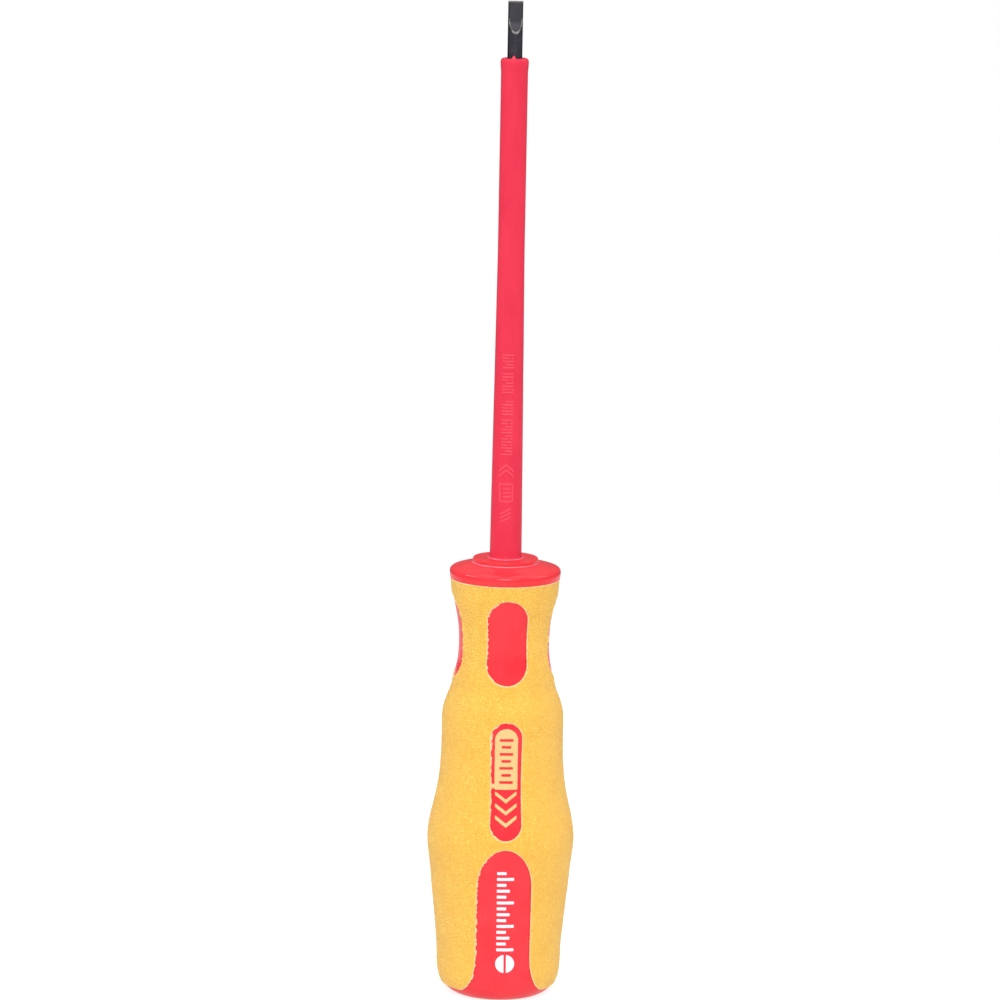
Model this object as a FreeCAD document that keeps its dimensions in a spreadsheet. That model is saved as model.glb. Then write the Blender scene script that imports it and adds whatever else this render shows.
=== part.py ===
import FreeCAD, Part
import os
import Sketcher

# A 3 mm slotted insulated screwdriver, standing on its butt with the blade up.
# Frame: +Z along the blade, towards the tip; the origin is the centre of the flat butt.
# -Y is the front: the size marking and the badge are on it, and again on the rear (+Y).
# Everything is in millimetres. The handle is moulded in three shots, round one another:
# a hard core on the winged tail of the blade, a hard red shell with the guard collar and
# the raised pads, and a soft sleeve whose windows the pads fill.

doc = FreeCAD.newDocument("InsulatedScrewdriver")
sheet = doc.addObject("Spreadsheet::Sheet", "Dimensions")
values = {}


def cell(alias, number, note):
    row = len(values) + 1
    sheet.set("A%d" % row, note)
    sheet.set("B%d" % row, "%.5f" % number)
    sheet.setAlias("B%d" % row, alias)
    values[alias] = number


class Dim:
    """A length that knows its value and the sheet expression it comes from."""

    def __init__(self, value, text):
        self.value, self.text = value, text

    def __add__(self, other):
        other = as_dim(other)
        return Dim(self.value + other.value, "(%s + %s)" % (self.text, other.text))

    def __sub__(self, other):
        other = as_dim(other)
        return Dim(self.value - other.value, "(%s - %s)" % (self.text, other.text))

    def __mul__(self, factor):
        return Dim(self.value * factor, "(%s * %.6f)" % (self.text, factor))

    def __neg__(self):
        return Dim(-self.value, "(0 - %s)" % self.text)


def as_dim(x):
    return x if isinstance(x, Dim) else Dim(float(x), "%.6f" % x)


def D(alias):
    return Dim(values[alias], "Dimensions.%s" % alias)


# ---- driving dimensions ---------------------------------------------------------------
cell("total_length", 200.0, "butt to blade tip")
# blade
cell("blade_diameter", 2.95, "round bar; nominal tip width 3.0")
cell("blade_tail_z", 22.0, "lower end of the bar, inside the core")
cell("tip_thickness", 0.5, "slotted tip, at its end")
cell("flat_top_thickness", 1.5, "thickness where the ground taper meets the run-out")
cell("flat_top_z", 195.9, "height of that place")
cell("runout_mid_half", 1.03, "half thickness half way along the run-out")
cell("runout_mid_z", 194.8, "height of that place")
cell("runout_z", 193.45, "the run-out curve starts here, outside the bar")
cell("runout_half", 1.62, "and at this half thickness")
cell("wing_width", 5.2, "flattened wings that stop the bar turning in the core")
cell("wing_thickness", 1.5, "")
cell("wing_low_z", 28.0, "")
cell("wing_high_z", 38.0, "")
cell("wing_chamfer", 1.1, "")
# blade insulation
cell("sheath_top_z", 188.8, "bare blade above this")
cell("sheath_lip_radius", 2.79, "the end of the sheath swells a little")
cell("sheath_lip_z", 187.9, "")
cell("sheath_neck_z", 186.9, "")
cell("sheath_radius", 2.66, "straight stretch")
cell("sheath_taper_z", 150.0, "the cone ends and the straight stretch starts")
cell("sheath_foot_radius", 3.19, "cone at the handle")
cell("sheath_flare_radius", 3.47, "small flare that meets the nose disc")
cell("sheath_flare_z", 90.15, "")
cell("sheath_tail_z", 78.5, "lower end, inside the core")
# nose disc and core
cell("core_radius", 5.2, "")
cell("core_low_z", 13.0, "")
cell("core_chamfer", 1.6, "")
cell("core_rib_radius", 6.5, "ribs that key the core into the shell")
cell("core_rib_width", 1.8, "")
cell("core_rib_low_z", 17.0, "")
cell("core_rib_high_z", 80.0, "")
cell("nose_radius", 6.515, "disc that shows above the collar")
cell("nose_low_z", 88.15, "")
cell("nose_high_z", 89.08, "")
cell("nose_round", 0.26, "rounded rim of the disc")
# guard collar
cell("collar_base_z", 85.0, "where the soft sleeve ends")
cell("collar_base_radius", 10.97, "")
cell("collar_radius", 11.12, "widest")
cell("collar_wide_z", 86.1, "")
cell("collar_shoulder_z", 87.32, "height of the rounded shoulder's control point")
cell("collar_top_radius", 10.86, "")
cell("collar_dome_radius", 8.2, "")
cell("collar_dome_z", 87.65, "")
# soft sleeve
cell("sleeve_thickness", 1.7, "")
cell("sleeve_low_z", 1.9, "lower edge of the side panels")
cell("window_recess", 0.28, "the pads lie this far below the sleeve's surface")
cell("neck_window_half", 4.03, "half width")
cell("neck_window_low_z", 64.75, "")
cell("neck_window_high_z", 82.0, "")
cell("badge_half", 3.16, "half width of the badge window")
cell("badge_low_z", 34.2, "")
cell("badge_high_z", 57.75, "")
cell("strip_half", 5.46, "half width of the marking strip")
cell("strip_top_z", 32.4, "")
cell("strip_arch_z", 24.4, "where the arch starts")
cell("strip_flare_z", 9.7, "where the strip starts to widen")
cell("strip_flare_width", 3.6, "")
# badge inlay: plain bars and chevrons
cell("inlay_thickness", 0.2, "stands this far off the pad")
cell("inlay_half", 2.3, "half width of the panel")
cell("inlay_low_z", 44.3, "")
cell("inlay_high_z", 56.55, "")
cell("inlay_slot_half", 1.35, "half length of the slots across the panel")
cell("inlay_slot_width", 0.85, "")
cell("inlay_slot_pitch", 2.05, "")
cell("inlay_slot_first_z", 46.0, "")
cell("chevron_half", 2.15, "half width of the chevrons")
cell("chevron_rise", 1.7, "")
cell("chevron_band", 1.0, "height of the band")
cell("chevron_first_z", 37.0, "")
cell("chevron_pitch", 2.5, "")
cell("bridge_half_width", 0.45, "the bridge that feeds the panel from the sleeve")
cell("bridge_z", 45.0, "")

# The grip's outer profile, from the rim of the flat butt to the collar: the control
# points of one smooth curve, as a radius and a height each.
profile = [
    (8.28, 0.0), (9.551, 0.0), (11.344, 1.181), (12.507, 4.439), (12.425, 8.781),
    (12.982, 14.592), (13.683, 20.716), (14.079, 25.704), (14.567, 29.169),
    (14.809, 31.828), (14.587, 34.667), (13.793, 38.077), (12.737, 42.623),
    (12.221, 48.122), (12.184, 53.437), (12.291, 57.804), (11.317, 60.752),
    (10.322, 63.032), (10.134, 65.571), (9.455, 68.415), (9.303, 72.104),
    (9.506, 76.596), (10.642, 80.848), (10.816, 83.704), (10.97, 85.0),
]
profile_knots = [
    0.0, 0.0411, 0.0696, 0.1152, 0.1893, 0.2692, 0.3262, 0.3604, 0.3889, 0.4174, 0.4573,
    0.5087, 0.5771, 0.6455, 0.6911, 0.7253, 0.7504, 0.7767, 0.8109, 0.8508, 0.9021,
    0.9648, 1.0,
]
profile_mults = [4] + [1] * (len(profile_knots) - 2) + [4]
for i, (radius, height) in enumerate(profile):
    cell("grip_radius_%s" % chr(97 + i), radius, "grip profile, control point %d" % (i + 1))
    cell("grip_height_%s" % chr(97 + i), height, "")
doc.recompute()


# ---- helpers --------------------------------------------------------------------------
def origin_plane(body, role):
    return [f for f in body.Origin.OriginFeatures if f.Role == role][0]


def new_body(name, label):
    body = doc.addObject("PartDesign::Body", name)
    body.Label = label
    return body


def new_sketch(body, name, role):
    sketch = body.newObject("Sketcher::SketchObject", name)
    sketch.AttachmentSupport = [(origin_plane(body, role), "")]
    sketch.MapMode = "FlatFace"
    return sketch


def place(sketch, geo, pos, x, y):
    """Fixes a point of the sketch at (x, y), bound to the sheet."""
    for kind, d, axis in (("DistanceX", as_dim(x), -2), ("DistanceY", as_dim(y), -1)):
        if abs(d.value) < 1e-9:
            sketch.addConstraint(Sketcher.Constraint("PointOnObject", geo, pos, axis))
            continue
        if d.value > 0:
            c = Sketcher.Constraint(kind, -1, 1, geo, pos, d.value)
        else:
            d = -d
            c = Sketcher.Constraint(kind, geo, pos, -1, 1, d.value)
        n = sketch.addConstraint(c)
        name = "%s_%d" % (kind[-1].lower(), n)
        sketch.renameConstraint(n, name)
        sketch.setExpression("Constraints." + name, d.text)


def vec(point):
    return FreeCAD.Vector(as_dim(point[0]).value, as_dim(point[1]).value, 0)


def closed_outline(sketch, start, segments):
    """Draws a closed outline. A segment is ("line", end) or ("curve", control points after
    the current point, multiplicities, knots). The last one must end at the start."""
    at, made = start, []
    for segment in segments:
        if segment[0] == "line":
            end = segment[1]
            geo = sketch.addGeometry(Part.LineSegment(vec(at), vec(end)), False)
            made.append((geo, "line", at, end))
        else:
            points = [at] + list(segment[1])
            curve = Part.BSplineCurve()
            curve.buildFromPolesMultsKnots(
                [vec(p) for p in points], segment[2], segment[3], False, 3
            )
            geo = sketch.addGeometry(curve, False)
            before = sketch.GeometryCount
            sketch.exposeInternalGeometry(geo)
            for k, point in enumerate(points):
                place(sketch, before + k, 3, point[0], point[1])
            end = points[-1]
            made.append((geo, "curve", at, end))
        at = end
    count = len(made)
    for k in range(count):
        geo, kind, first, last = made[k]
        after = made[(k + 1) % count]
        if kind == "line" or after[1] == "line":  # two curves meet at fixed points
            sketch.addConstraint(Sketcher.Constraint("Coincident", geo, 2, after[0], 1))
        if kind == "line" and after[1] == "line":
            place(sketch, geo, 2, last[0], last[1])


def bezier(*points):
    return ("curve", points, [4, 4], [0.0, 1.0])


def quarter(start, corner, end):
    """A quarter of an ellipse from start to end, whose tangents meet at the corner."""
    q = 0.5523

    def between(a, b, share):
        a0, a1, b0, b1 = as_dim(a[0]), as_dim(a[1]), as_dim(b[0]), as_dim(b[1])
        return (a0 * (1 - share) + b0 * share, a1 * (1 - share) + b1 * share)

    return bezier(between(start, corner, q), between(end, corner, q), end)


def revolved(body, name, sketch):
    feature = body.newObject("PartDesign::Revolution", name)
    feature.Profile = sketch
    feature.ReferenceAxis = (sketch, ["V_Axis"])
    feature.Angle = 360
    doc.recompute()
    return feature


def grooved(body, name, sketch):
    before = body.Shape.Volume
    feature = body.newObject("PartDesign::Groove", name)
    feature.Profile = sketch
    feature.ReferenceAxis = (sketch, ["V_Axis"])
    feature.Angle = 360
    doc.recompute()
    if not body.Shape.Volume < before - 0.5:
        raise RuntimeError(name + " cut nothing")
    return feature


def pocketed(body, name, sketch, length):
    """Cuts the sketch through both sides of its plane."""
    before = body.Shape.Volume
    feature = body.newObject("PartDesign::Pocket", name)
    feature.Profile = sketch
    feature.Type = "Length"
    feature.Length = length
    feature.Midplane = True
    doc.recompute()
    if not body.Shape.Volume < before - 0.5:
        raise RuntimeError(name + " cut nothing")
    return feature


def grip_points(inset):
    """The grip profile's control points, moved towards the axis by inset."""
    return [
        (D("grip_radius_%s" % chr(97 + i)) - inset, D("grip_height_%s" % chr(97 + i)))
        for i in range(len(profile))
    ]


def grip_curve(inset, upwards=True):
    points = grip_points(inset)
    if upwards:
        return points[0], ("curve", points[1:], profile_mults, profile_knots)
    back = [1.0 - k for k in reversed(profile_knots)]
    return points[-1], ("curve", points[-2::-1], profile_mults, back)


def obround(sketch, half, low, high):
    """A slot with round ends, upright, centred on the vertical axis."""
    top, bottom = high - half, low + half
    k = 4.0 / 3.0 * 0.41421356
    right, left = half, -half
    closed_outline(
        sketch,
        (right, bottom),
        [
            ("line", (right, top)),
            (
                "curve",
                [
                    (right, top + half * k), (half * k, high), (Dim(0.0, "0"), high),
                    (-(half * k), high), (left, top + half * k), (left, top),
                ],
                [4, 3, 4],
                [0.0, 0.5, 1.0],
            ),
            ("line", (left, bottom)),
            (
                "curve",
                [
                    (left, bottom - half * k), (-(half * k), low), (Dim(0.0, "0"), low),
                    (half * k, low), (right, bottom - half * k), (right, bottom),
                ],
                [4, 3, 4],
                [0.0, 0.5, 1.0],
            ),
        ],
    )


zero = Dim(0.0, "0")

# ---- blade: round bar with a ground slotted tip and a winged tail -----------------------
blade = new_body("BladeBody", "blade")
r_bar = D("blade_diameter") * 0.5
sk = new_sketch(blade, "BarProfile", "XZ_Plane")
closed_outline(
    sk,
    (zero, D("blade_tail_z")),
    [
        ("line", (r_bar - 0.4, D("blade_tail_z"))),
        ("line", (r_bar, D("blade_tail_z") + 0.4)),
        ("line", (r_bar, D("total_length"))),
        ("line", (zero, D("total_length"))),
        ("line", (zero, D("blade_tail_z"))),
    ],
)
revolved(blade, "Bar", sk)
half = D("wing_width") * 0.5
low, high, ch = D("wing_low_z"), D("wing_high_z"), D("wing_chamfer")
sk = new_sketch(blade, "WingOutline", "XZ_Plane")
closed_outline(
    sk,
    (half - ch, low),
    [
        ("line", (half, low + ch)),
        ("line", (half, high - ch)),
        ("line", (half - ch, high)),
        ("line", (-(half - ch), high)),
        ("line", (-half, high - ch)),
        ("line", (-half, low + ch)),
        ("line", (-(half - ch), low)),
        ("line", (half - ch, low)),
    ],
)
before = blade.Shape.Volume
wings = blade.newObject("PartDesign::Pad", "Wings")
wings.Profile = sk
wings.Type = "Length"
wings.Midplane = True
wings.setExpression("Length", "Dimensions.wing_thickness")
doc.recompute()
if not blade.Shape.Volume > before + 5:
    raise RuntimeError("the wings added nothing")
# The two ground flats: each side's cutter is seen from the edge of the tip, in the YZ plane.
tip_half = D("tip_thickness") * 0.5
for side, sign in (("Front", -1), ("Rear", 1)):
    def flip(d, sign=sign):
        return d if sign > 0 else -d

    sk = new_sketch(blade, side + "FlatOutline", "YZ_Plane")
    end = D("total_length") + 1.0
    taper = (D("flat_top_thickness") * 0.5 - tip_half) * (1.0 / 4.1)
    closed_outline(
        sk,
        (flip(Dim(4.0, "4")), D("runout_z")),
        [
            ("line", (flip(D("runout_half")), D("runout_z"))),
            bezier(
                (flip(D("runout_mid_half") + 0.13), D("runout_mid_z") - 0.45),
                (flip(D("runout_mid_half") - 0.13), D("runout_mid_z") + 0.35),
                (flip(D("flat_top_thickness") * 0.5), D("flat_top_z")),
            ),
            ("line", (flip(tip_half - taper), end)),
            ("line", (flip(Dim(4.0, "4")), end)),
            ("line", (flip(Dim(4.0, "4")), D("runout_z"))),
        ],
    )
    pocketed(blade, side + "Flat", sk, 12)

# ---- blade insulation: red sheath moulded on the bar --------------------------------------
sheath = new_body("SheathBody", "blade_insulation")
sk = new_sketch(sheath, "SheathProfile", "XZ_Plane")
top, lip = D("sheath_top_z"), D("sheath_lip_radius")
straight = D("sheath_radius")
closed_outline(
    sk,
    (r_bar, D("sheath_tail_z")),
    [
        ("line", (D("sheath_foot_radius"), D("sheath_tail_z"))),
        ("line", (D("sheath_foot_radius"), D("nose_high_z"))),
        ("line", (D("sheath_flare_radius"), D("nose_high_z"))),
        bezier(
            (D("sheath_flare_radius") - 0.15, D("nose_high_z") + 0.1),
            (D("sheath_foot_radius") + 0.02, D("sheath_flare_z") - 0.55),
            (D("sheath_foot_radius") - 0.008, D("sheath_flare_z")),
        ),
        ("line", (straight, D("sheath_taper_z"))),
        ("line", (straight, D("sheath_neck_z"))),
        bezier(
            (straight, D("sheath_neck_z") + 0.4),
            (lip, D("sheath_lip_z") - 0.45),
            (lip, D("sheath_lip_z")),
        ),
        bezier(
            (lip, D("sheath_lip_z") + 0.55),
            (lip - 0.3, top),
            (lip - 0.55, top),
        ),
        ("line", (r_bar, top)),
        ("line", (r_bar, D("sheath_tail_z"))),
    ],
)
revolved(sheath, "Sheath", sk)

# ---- core: first shot of the handle, with the nose disc ------------------------------------
core_blank = new_body("CoreBlank", "core_blank")
sk = new_sketch(core_blank, "CoreProfile", "XZ_Plane")
nose, rim = D("nose_radius"), D("nose_round")
cr, cz, cc = D("core_radius"), D("core_low_z"), D("core_chamfer")
closed_outline(
    sk,
    (zero, cz),
    [
        ("line", (cr - cc, cz)),
        quarter((cr - cc, cz), (cr, cz), (cr, cz + cc)),
        ("line", (cr, D("nose_low_z"))),
        ("line", (nose, D("nose_low_z"))),
        ("line", (nose, D("nose_high_z") - rim)),
        quarter(
            (nose, D("nose_high_z") - rim), (nose, D("nose_high_z")), (nose - rim, D("nose_high_z"))
        ),
        ("line", (zero, D("nose_high_z"))),
        ("line", (zero, cz)),
    ],
)
revolved(core_blank, "Core", sk)
sk = new_sketch(core_blank, "RibOutline", "XZ_Plane")
rl, rh, rr = D("core_rib_low_z"), D("core_rib_high_z"), D("core_rib_radius")
closed_outline(
    sk,
    (-(rr - 1.0), rl),
    [
        ("line", (rr - 1.0, rl)),
        ("line", (rr, rl + 2.0)),
        ("line", (rr, rh - 2.0)),
        ("line", (rr - 1.0, rh)),
        ("line", (-(rr - 1.0), rh)),
        ("line", (-rr, rh - 2.0)),
        ("line", (-rr, rl + 2.0)),
        ("line", (-(rr - 1.0), rl)),
    ],
)
ribs = core_blank.newObject("PartDesign::Pad", "Ribs")
ribs.Profile = sk
ribs.Type = "Length"
ribs.Midplane = True
ribs.setExpression("Length", "Dimensions.core_rib_width")
doc.recompute()
before = core_blank.Shape.Volume
pattern = core_blank.newObject("PartDesign::PolarPattern", "RibPattern")
pattern.Originals = [ribs]
pattern.Axis = ([f for f in core_blank.Origin.OriginFeatures if f.Role == "Z_Axis"][0], [""])
pattern.Angle = 180
pattern.Occurrences = 3
core_blank.Tip = pattern
doc.recompute()
if not core_blank.Shape.Volume > before + 5:
    raise RuntimeError("the rib pattern added nothing")

blade_in_sheath = doc.addObject("Part::MultiFuse", "BladeInSheath")
blade_in_sheath.Shapes = [blade, sheath]
core = doc.addObject("Part::Cut", "HandleCore")
core.Base = core_blank
core.Tool = blade_in_sheath
core.Label = "handle_core"

# ---- grip sleeve: third shot, soft, with windows --------------------------------------------
sleeve = new_body("SleeveBody", "grip_sleeve")
sk = new_sketch(sleeve, "SleeveProfile", "XZ_Plane")
t = D("sleeve_thickness")
first, outer = grip_curve(zero)
inner_top, inner = grip_curve(t, upwards=False)
closed_outline(sk, first, [outer, ("line", inner_top), inner, ("line", first)])
revolved(sleeve, "Sleeve", sk)
sk = new_sketch(sleeve, "LowerEdge", "XZ_Plane")
closed_outline(
    sk,
    (Dim(5.0, "5"), Dim(-1.0, "(0 - 1)")),
    [
        ("line", (Dim(15.0, "15"), Dim(-1.0, "(0 - 1)"))),
        ("line", (Dim(15.0, "15"), D("sleeve_low_z"))),
        ("line", (Dim(5.0, "5"), D("sleeve_low_z"))),
        ("line", (Dim(5.0, "5"), Dim(-1.0, "(0 - 1)"))),
    ],
)
grooved(sleeve, "LowerEdgeCut", sk)
for name, role in (("FrontRearNeck", "XZ_Plane"), ("SideNeck", "YZ_Plane")):
    sk = new_sketch(sleeve, name + "Outline", role)
    obround(sk, D("neck_window_half"), D("neck_window_low_z"), D("neck_window_high_z"))
    pocketed(sleeve, name + "Windows", sk, 40)
sk = new_sketch(sleeve, "BadgeOutline", "XZ_Plane")
obround(sk, D("badge_half"), D("badge_low_z"), D("badge_high_z"))
pocketed(sleeve, "BadgeWindows", sk, 40)
sk = new_sketch(sleeve, "StripOutline", "XZ_Plane")
sw, st, sa, sf = D("strip_half"), D("strip_top_z"), D("strip_arch_z"), D("strip_flare_z")
fw, fl, q = D("strip_flare_width"), D("sleeve_low_z") - 0.2, 0.5523
rise = st - sa
drop = sf - fl
below = Dim(-2.0, "(0 - 2)")
wide = Dim(18.0, "18")
closed_outline(
    sk,
    (sw, sf),
    [
        ("line", (sw, sa)),
        (
            "curve",
            [
                (sw, sa + rise * q), (sw * q, st), (zero, st),
                (-(sw * q), st), (-sw, sa + rise * q), (-sw, sa),
            ],
            [4, 3, 4],
            [0.0, 0.5, 1.0],
        ),
        ("line", (-sw, sf)),
        bezier((-sw, sf - drop * q), (-(sw + fw * (1 - q)), fl), (-(sw + fw), fl)),
        ("line", (-wide, fl)),
        ("line", (-wide, below)),
        ("line", (wide, below)),
        ("line", (wide, fl)),
        ("line", (sw + fw, fl)),
        bezier((sw + fw * (1 - q), fl), (sw, sf - drop * q), (sw, sf)),
    ],
)
pocketed(sleeve, "Strips", sk, 40)

# ---- handle shell: second shot, with the collar, the pads, the strips and the butt ----------
shell_blank = new_body("ShellBlank", "shell_blank")
sk = new_sketch(shell_blank, "ShellProfile", "XZ_Plane")
first, outer = grip_curve(D("window_recess"))
cb, cw = D("collar_base_radius"), D("collar_radius")
closed_outline(
    sk,
    (zero, zero),
    [
        ("line", first),
        outer,
        ("line", (cb, D("collar_base_z"))),
        bezier(
            (cb + 0.12, D("collar_base_z") + 0.35),
            (cw, D("collar_wide_z") - 0.45),
            (cw, D("collar_wide_z")),
        ),
        bezier(
            (cw, D("collar_wide_z") + 0.75),
            (D("collar_top_radius"), D("collar_shoulder_z") - 0.1),
            (D("collar_dome_radius") + 1.0, D("collar_dome_z") - 0.27),
        ),
        bezier(
            (D("collar_dome_radius"), D("collar_dome_z")),
            (nose + 0.9, D("nose_low_z")),
            (nose, D("nose_low_z")),
        ),
        ("line", (zero, D("nose_low_z"))),
        ("line", (zero, zero)),
    ],
)
revolved(shell_blank, "Shell", sk)
shell_tools = doc.addObject("Part::MultiFuse", "SleeveAndCore")
shell_tools.Shapes = [sleeve, core_blank]
shell = doc.addObject("Part::Cut", "HandleShell")
shell.Base = shell_blank
shell.Tool = shell_tools
shell.Label = "handle_shell"

# ---- badge inlays: a plain slotted panel, three chevrons and a bridge ------------------------
ring = new_body("InlayRing", "inlay_ring")
sk = new_sketch(ring, "InlayRingProfile", "XZ_Plane")
recess = D("window_recess")
first, outer = grip_curve(recess - D("inlay_thickness"))
inner_top, inner = grip_curve(recess, upwards=False)
closed_outline(sk, first, [outer, ("line", inner_top), inner, ("line", first)])
revolved(ring, "InlayRingSolid", sk)

motif = new_body("InlayMotif", "inlay_motif")
sk = new_sketch(motif, "PanelOutline", "XZ_Plane")
ih, il, it = D("inlay_half"), D("inlay_low_z"), D("inlay_high_z")
ia = it - ih
closed_outline(
    sk,
    (ih, il),
    [
        ("line", (ih, ia)),
        (
            "curve",
            [
                (ih, ia + ih * q), (ih * q, it), (zero, it),
                (-(ih * q), it), (-ih, ia + ih * q), (-ih, ia),
            ],
            [4, 3, 4],
            [0.0, 0.5, 1.0],
        ),
        ("line", (-ih, il)),
        ("line", (ih, il)),
    ],
)
panel = motif.newObject("PartDesign::Pad", "Panel")
panel.Profile = sk
panel.Type = "Length"
panel.Midplane = True
panel.Length = 40
doc.recompute()
for k in range(5):
    sk = new_sketch(motif, "Slot%dOutline" % (k + 1), "XZ_Plane")
    mid = D("inlay_slot_first_z") + D("inlay_slot_pitch") * k
    sh = D("inlay_slot_half")
    hw = D("inlay_slot_width") * 0.5
    closed_outline(
        sk,
        (-sh, mid - hw),
        [
            ("line", (sh, mid - hw)),
            ("line", (sh, mid + hw)),
            ("line", (-sh, mid + hw)),
            ("line", (-sh, mid - hw)),
        ],
    )
    pocketed(motif, "Slot%d" % (k + 1), sk, 44)

bars = []
for k in range(3):
    bar = new_body("Chevron%dBody" % (k + 1), "chevron_%d" % (k + 1))
    sk = new_sketch(bar, "Chevron%dOutline" % (k + 1), "XZ_Plane")
    base = D("chevron_first_z") + D("chevron_pitch") * k
    wh, ri, ba = D("chevron_half"), D("chevron_rise"), D("chevron_band")
    closed_outline(
        sk,
        (zero, base),
        [
            ("line", (wh, base + ri)),
            ("line", (wh, base + ri + ba)),
            ("line", (zero, base + ba)),
            ("line", (-wh, base + ri + ba)),
            ("line", (-wh, base + ri)),
            ("line", (zero, base)),
        ],
    )
    pad = bar.newObject("PartDesign::Pad", "Chevron%dPad" % (k + 1))
    pad.Profile = sk
    pad.Type = "Length"
    pad.Midplane = True
    pad.Length = 40
    doc.recompute()
    bars.append(bar)

bridge = new_body("BridgeBody", "bridge")
sk = new_sketch(bridge, "BridgeOutline", "XZ_Plane")
bz, bw = D("bridge_z"), D("bridge_half_width")
closed_outline(
    sk,
    (-D("badge_half"), bz - bw),
    [
        ("line", (-(ih - 0.2), bz - bw)),
        ("line", (-(ih - 0.2), bz + bw)),
        ("line", (-D("badge_half"), bz + bw)),
        ("line", (-D("badge_half"), bz - bw)),
    ],
)
pad = bridge.newObject("PartDesign::Pad", "BridgePad")
pad.Profile = sk
pad.Type = "Length"
pad.Midplane = True
pad.Length = 40
doc.recompute()

motif_parts = doc.addObject("Part::MultiFuse", "MotifParts")
motif_parts.Shapes = [motif, bridge] + bars
inlays = []
for name, label, y in (("InlayFront", "badge_inlay_front", -20.0), ("InlayRear", "badge_inlay_rear", 0.0)):
    block = doc.addObject("Part::Box", name + "Half")
    block.Length, block.Width, block.Height = 40, 20, 100
    block.Placement = FreeCAD.Placement(FreeCAD.Vector(-20, y, 0), FreeCAD.Rotation())
    part = doc.addObject("Part::MultiCommon", name)
    part.Shapes = [ring, motif_parts, block]
    part.Label = label
    inlays.append(part)
doc.recompute()

# ---- checks and output -----------------------------------------------------------------
for obj in doc.Objects:
    if "Invalid" in obj.State or "Error" in obj.State:
        raise RuntimeError("%s failed: %s" % (obj.Name, obj.State))

os.makedirs("parts", exist_ok=True)
for part in [blade, sheath, core, shell, sleeve] + inlays:
    shape = part.Shape
    if shape.isNull() or not shape.isValid() or not shape.Solids:
        raise RuntimeError(part.Label + " has no valid solid")
    box = shape.BoundBox
    print(
        "%-20s solids %2d volume %9.2f  z %.2f to %.2f"
        % (part.Label, len(shape.Solids), shape.Volume, box.ZMin, box.ZMax)
    )
    shape.exportStep("parts/%s.step" % part.Label)
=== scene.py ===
import math

import bpy
import numpy as np
from mathutils import Matrix, Vector
from mathutils.geometry import delaunay_2d_cdt
from mathutils.kdtree import KDTree


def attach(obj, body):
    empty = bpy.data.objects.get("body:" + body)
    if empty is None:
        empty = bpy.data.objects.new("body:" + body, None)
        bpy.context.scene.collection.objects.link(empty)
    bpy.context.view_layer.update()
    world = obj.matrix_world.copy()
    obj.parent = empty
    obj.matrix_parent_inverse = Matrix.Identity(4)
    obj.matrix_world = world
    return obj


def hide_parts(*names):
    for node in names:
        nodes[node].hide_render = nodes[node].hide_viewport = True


# A slotted insulated screwdriver standing on its butt, blade up. The CAD frame gives the
# blade, the core with the nose disc, and the hard shell with collar, pads and butt. The
# soft sleeve, the moulded sheath and the badge inlays are rebuilt here as closed meshes
# with the rolled window edges, leather grain, flash and raised marks that moulding leaves.
# Lengths below are millimetres until a mesh is written.

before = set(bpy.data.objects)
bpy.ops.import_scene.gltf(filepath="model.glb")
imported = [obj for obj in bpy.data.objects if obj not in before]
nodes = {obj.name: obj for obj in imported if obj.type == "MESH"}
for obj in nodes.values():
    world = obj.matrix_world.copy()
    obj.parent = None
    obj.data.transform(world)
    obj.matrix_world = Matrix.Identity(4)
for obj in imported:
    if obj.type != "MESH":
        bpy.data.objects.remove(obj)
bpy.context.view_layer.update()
scene = bpy.context.scene
rng = np.random.default_rng(20)

# ---- the grip's profile, as in the CAD ----------------------------------------------
PROFILE = np.array([
    (8.28, 0.0), (9.551, 0.0), (11.344, 1.181), (12.507, 4.439), (12.425, 8.781),
    (12.982, 14.592), (13.683, 20.716), (14.079, 25.704), (14.567, 29.169),
    (14.809, 31.828), (14.587, 34.667), (13.793, 38.077), (12.737, 42.623),
    (12.221, 48.122), (12.184, 53.437), (12.291, 57.804), (11.317, 60.752),
    (10.322, 63.032), (10.134, 65.571), (9.455, 68.415), (9.303, 72.104),
    (9.506, 76.596), (10.642, 80.848), (10.816, 83.704), (10.97, 85.0),
])
KNOTS = np.array([
    0.0, 0.0411, 0.0696, 0.1152, 0.1893, 0.2692, 0.3262, 0.3604, 0.3889, 0.4174, 0.4573,
    0.5087, 0.5771, 0.6455, 0.6911, 0.7253, 0.7504, 0.7767, 0.8109, 0.8508, 0.9021,
    0.9648, 1.0,
])


def spline(poles, knots, u, degree=3):
    t = np.concatenate([[knots[0]] * degree, knots, [knots[-1]] * degree])
    u = np.clip(u, knots[0], knots[-1] - 1e-12)
    basis = [((u >= t[i]) & (u < t[i + 1])).astype(float) for i in range(len(t) - 1)]
    for d in range(1, degree + 1):
        new = []
        for i in range(len(t) - d - 1):
            a = t[i + d] - t[i]
            b = t[i + d + 1] - t[i + 1]
            left = (u - t[i]) / a * basis[i] if a > 0 else 0
            right = (t[i + d + 1] - u) / b * basis[i + 1] if b > 0 else 0
            new.append(left + right)
        basis = new
    return sum(basis[i][:, None] * poles[i] for i in range(len(poles)))


table = spline(PROFILE, KNOTS, np.linspace(0, 1, 6001))
table_r, table_z = table[:, 0], np.maximum.accumulate(table[:, 1] + np.arange(6001) * 1e-9)
table_s = np.concatenate([[0], np.cumsum(np.hypot(np.diff(table_r), np.diff(table_z)))])
slope_r = np.gradient(table_r, table_s)
slope_z = np.gradient(table_z, table_s)


def r_at(s):
    return np.interp(s, table_s, table_r)


def z_at(s):
    return np.interp(s, table_s, table_z)


def s_at(z):
    return np.interp(z, table_z, table_s)


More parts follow.
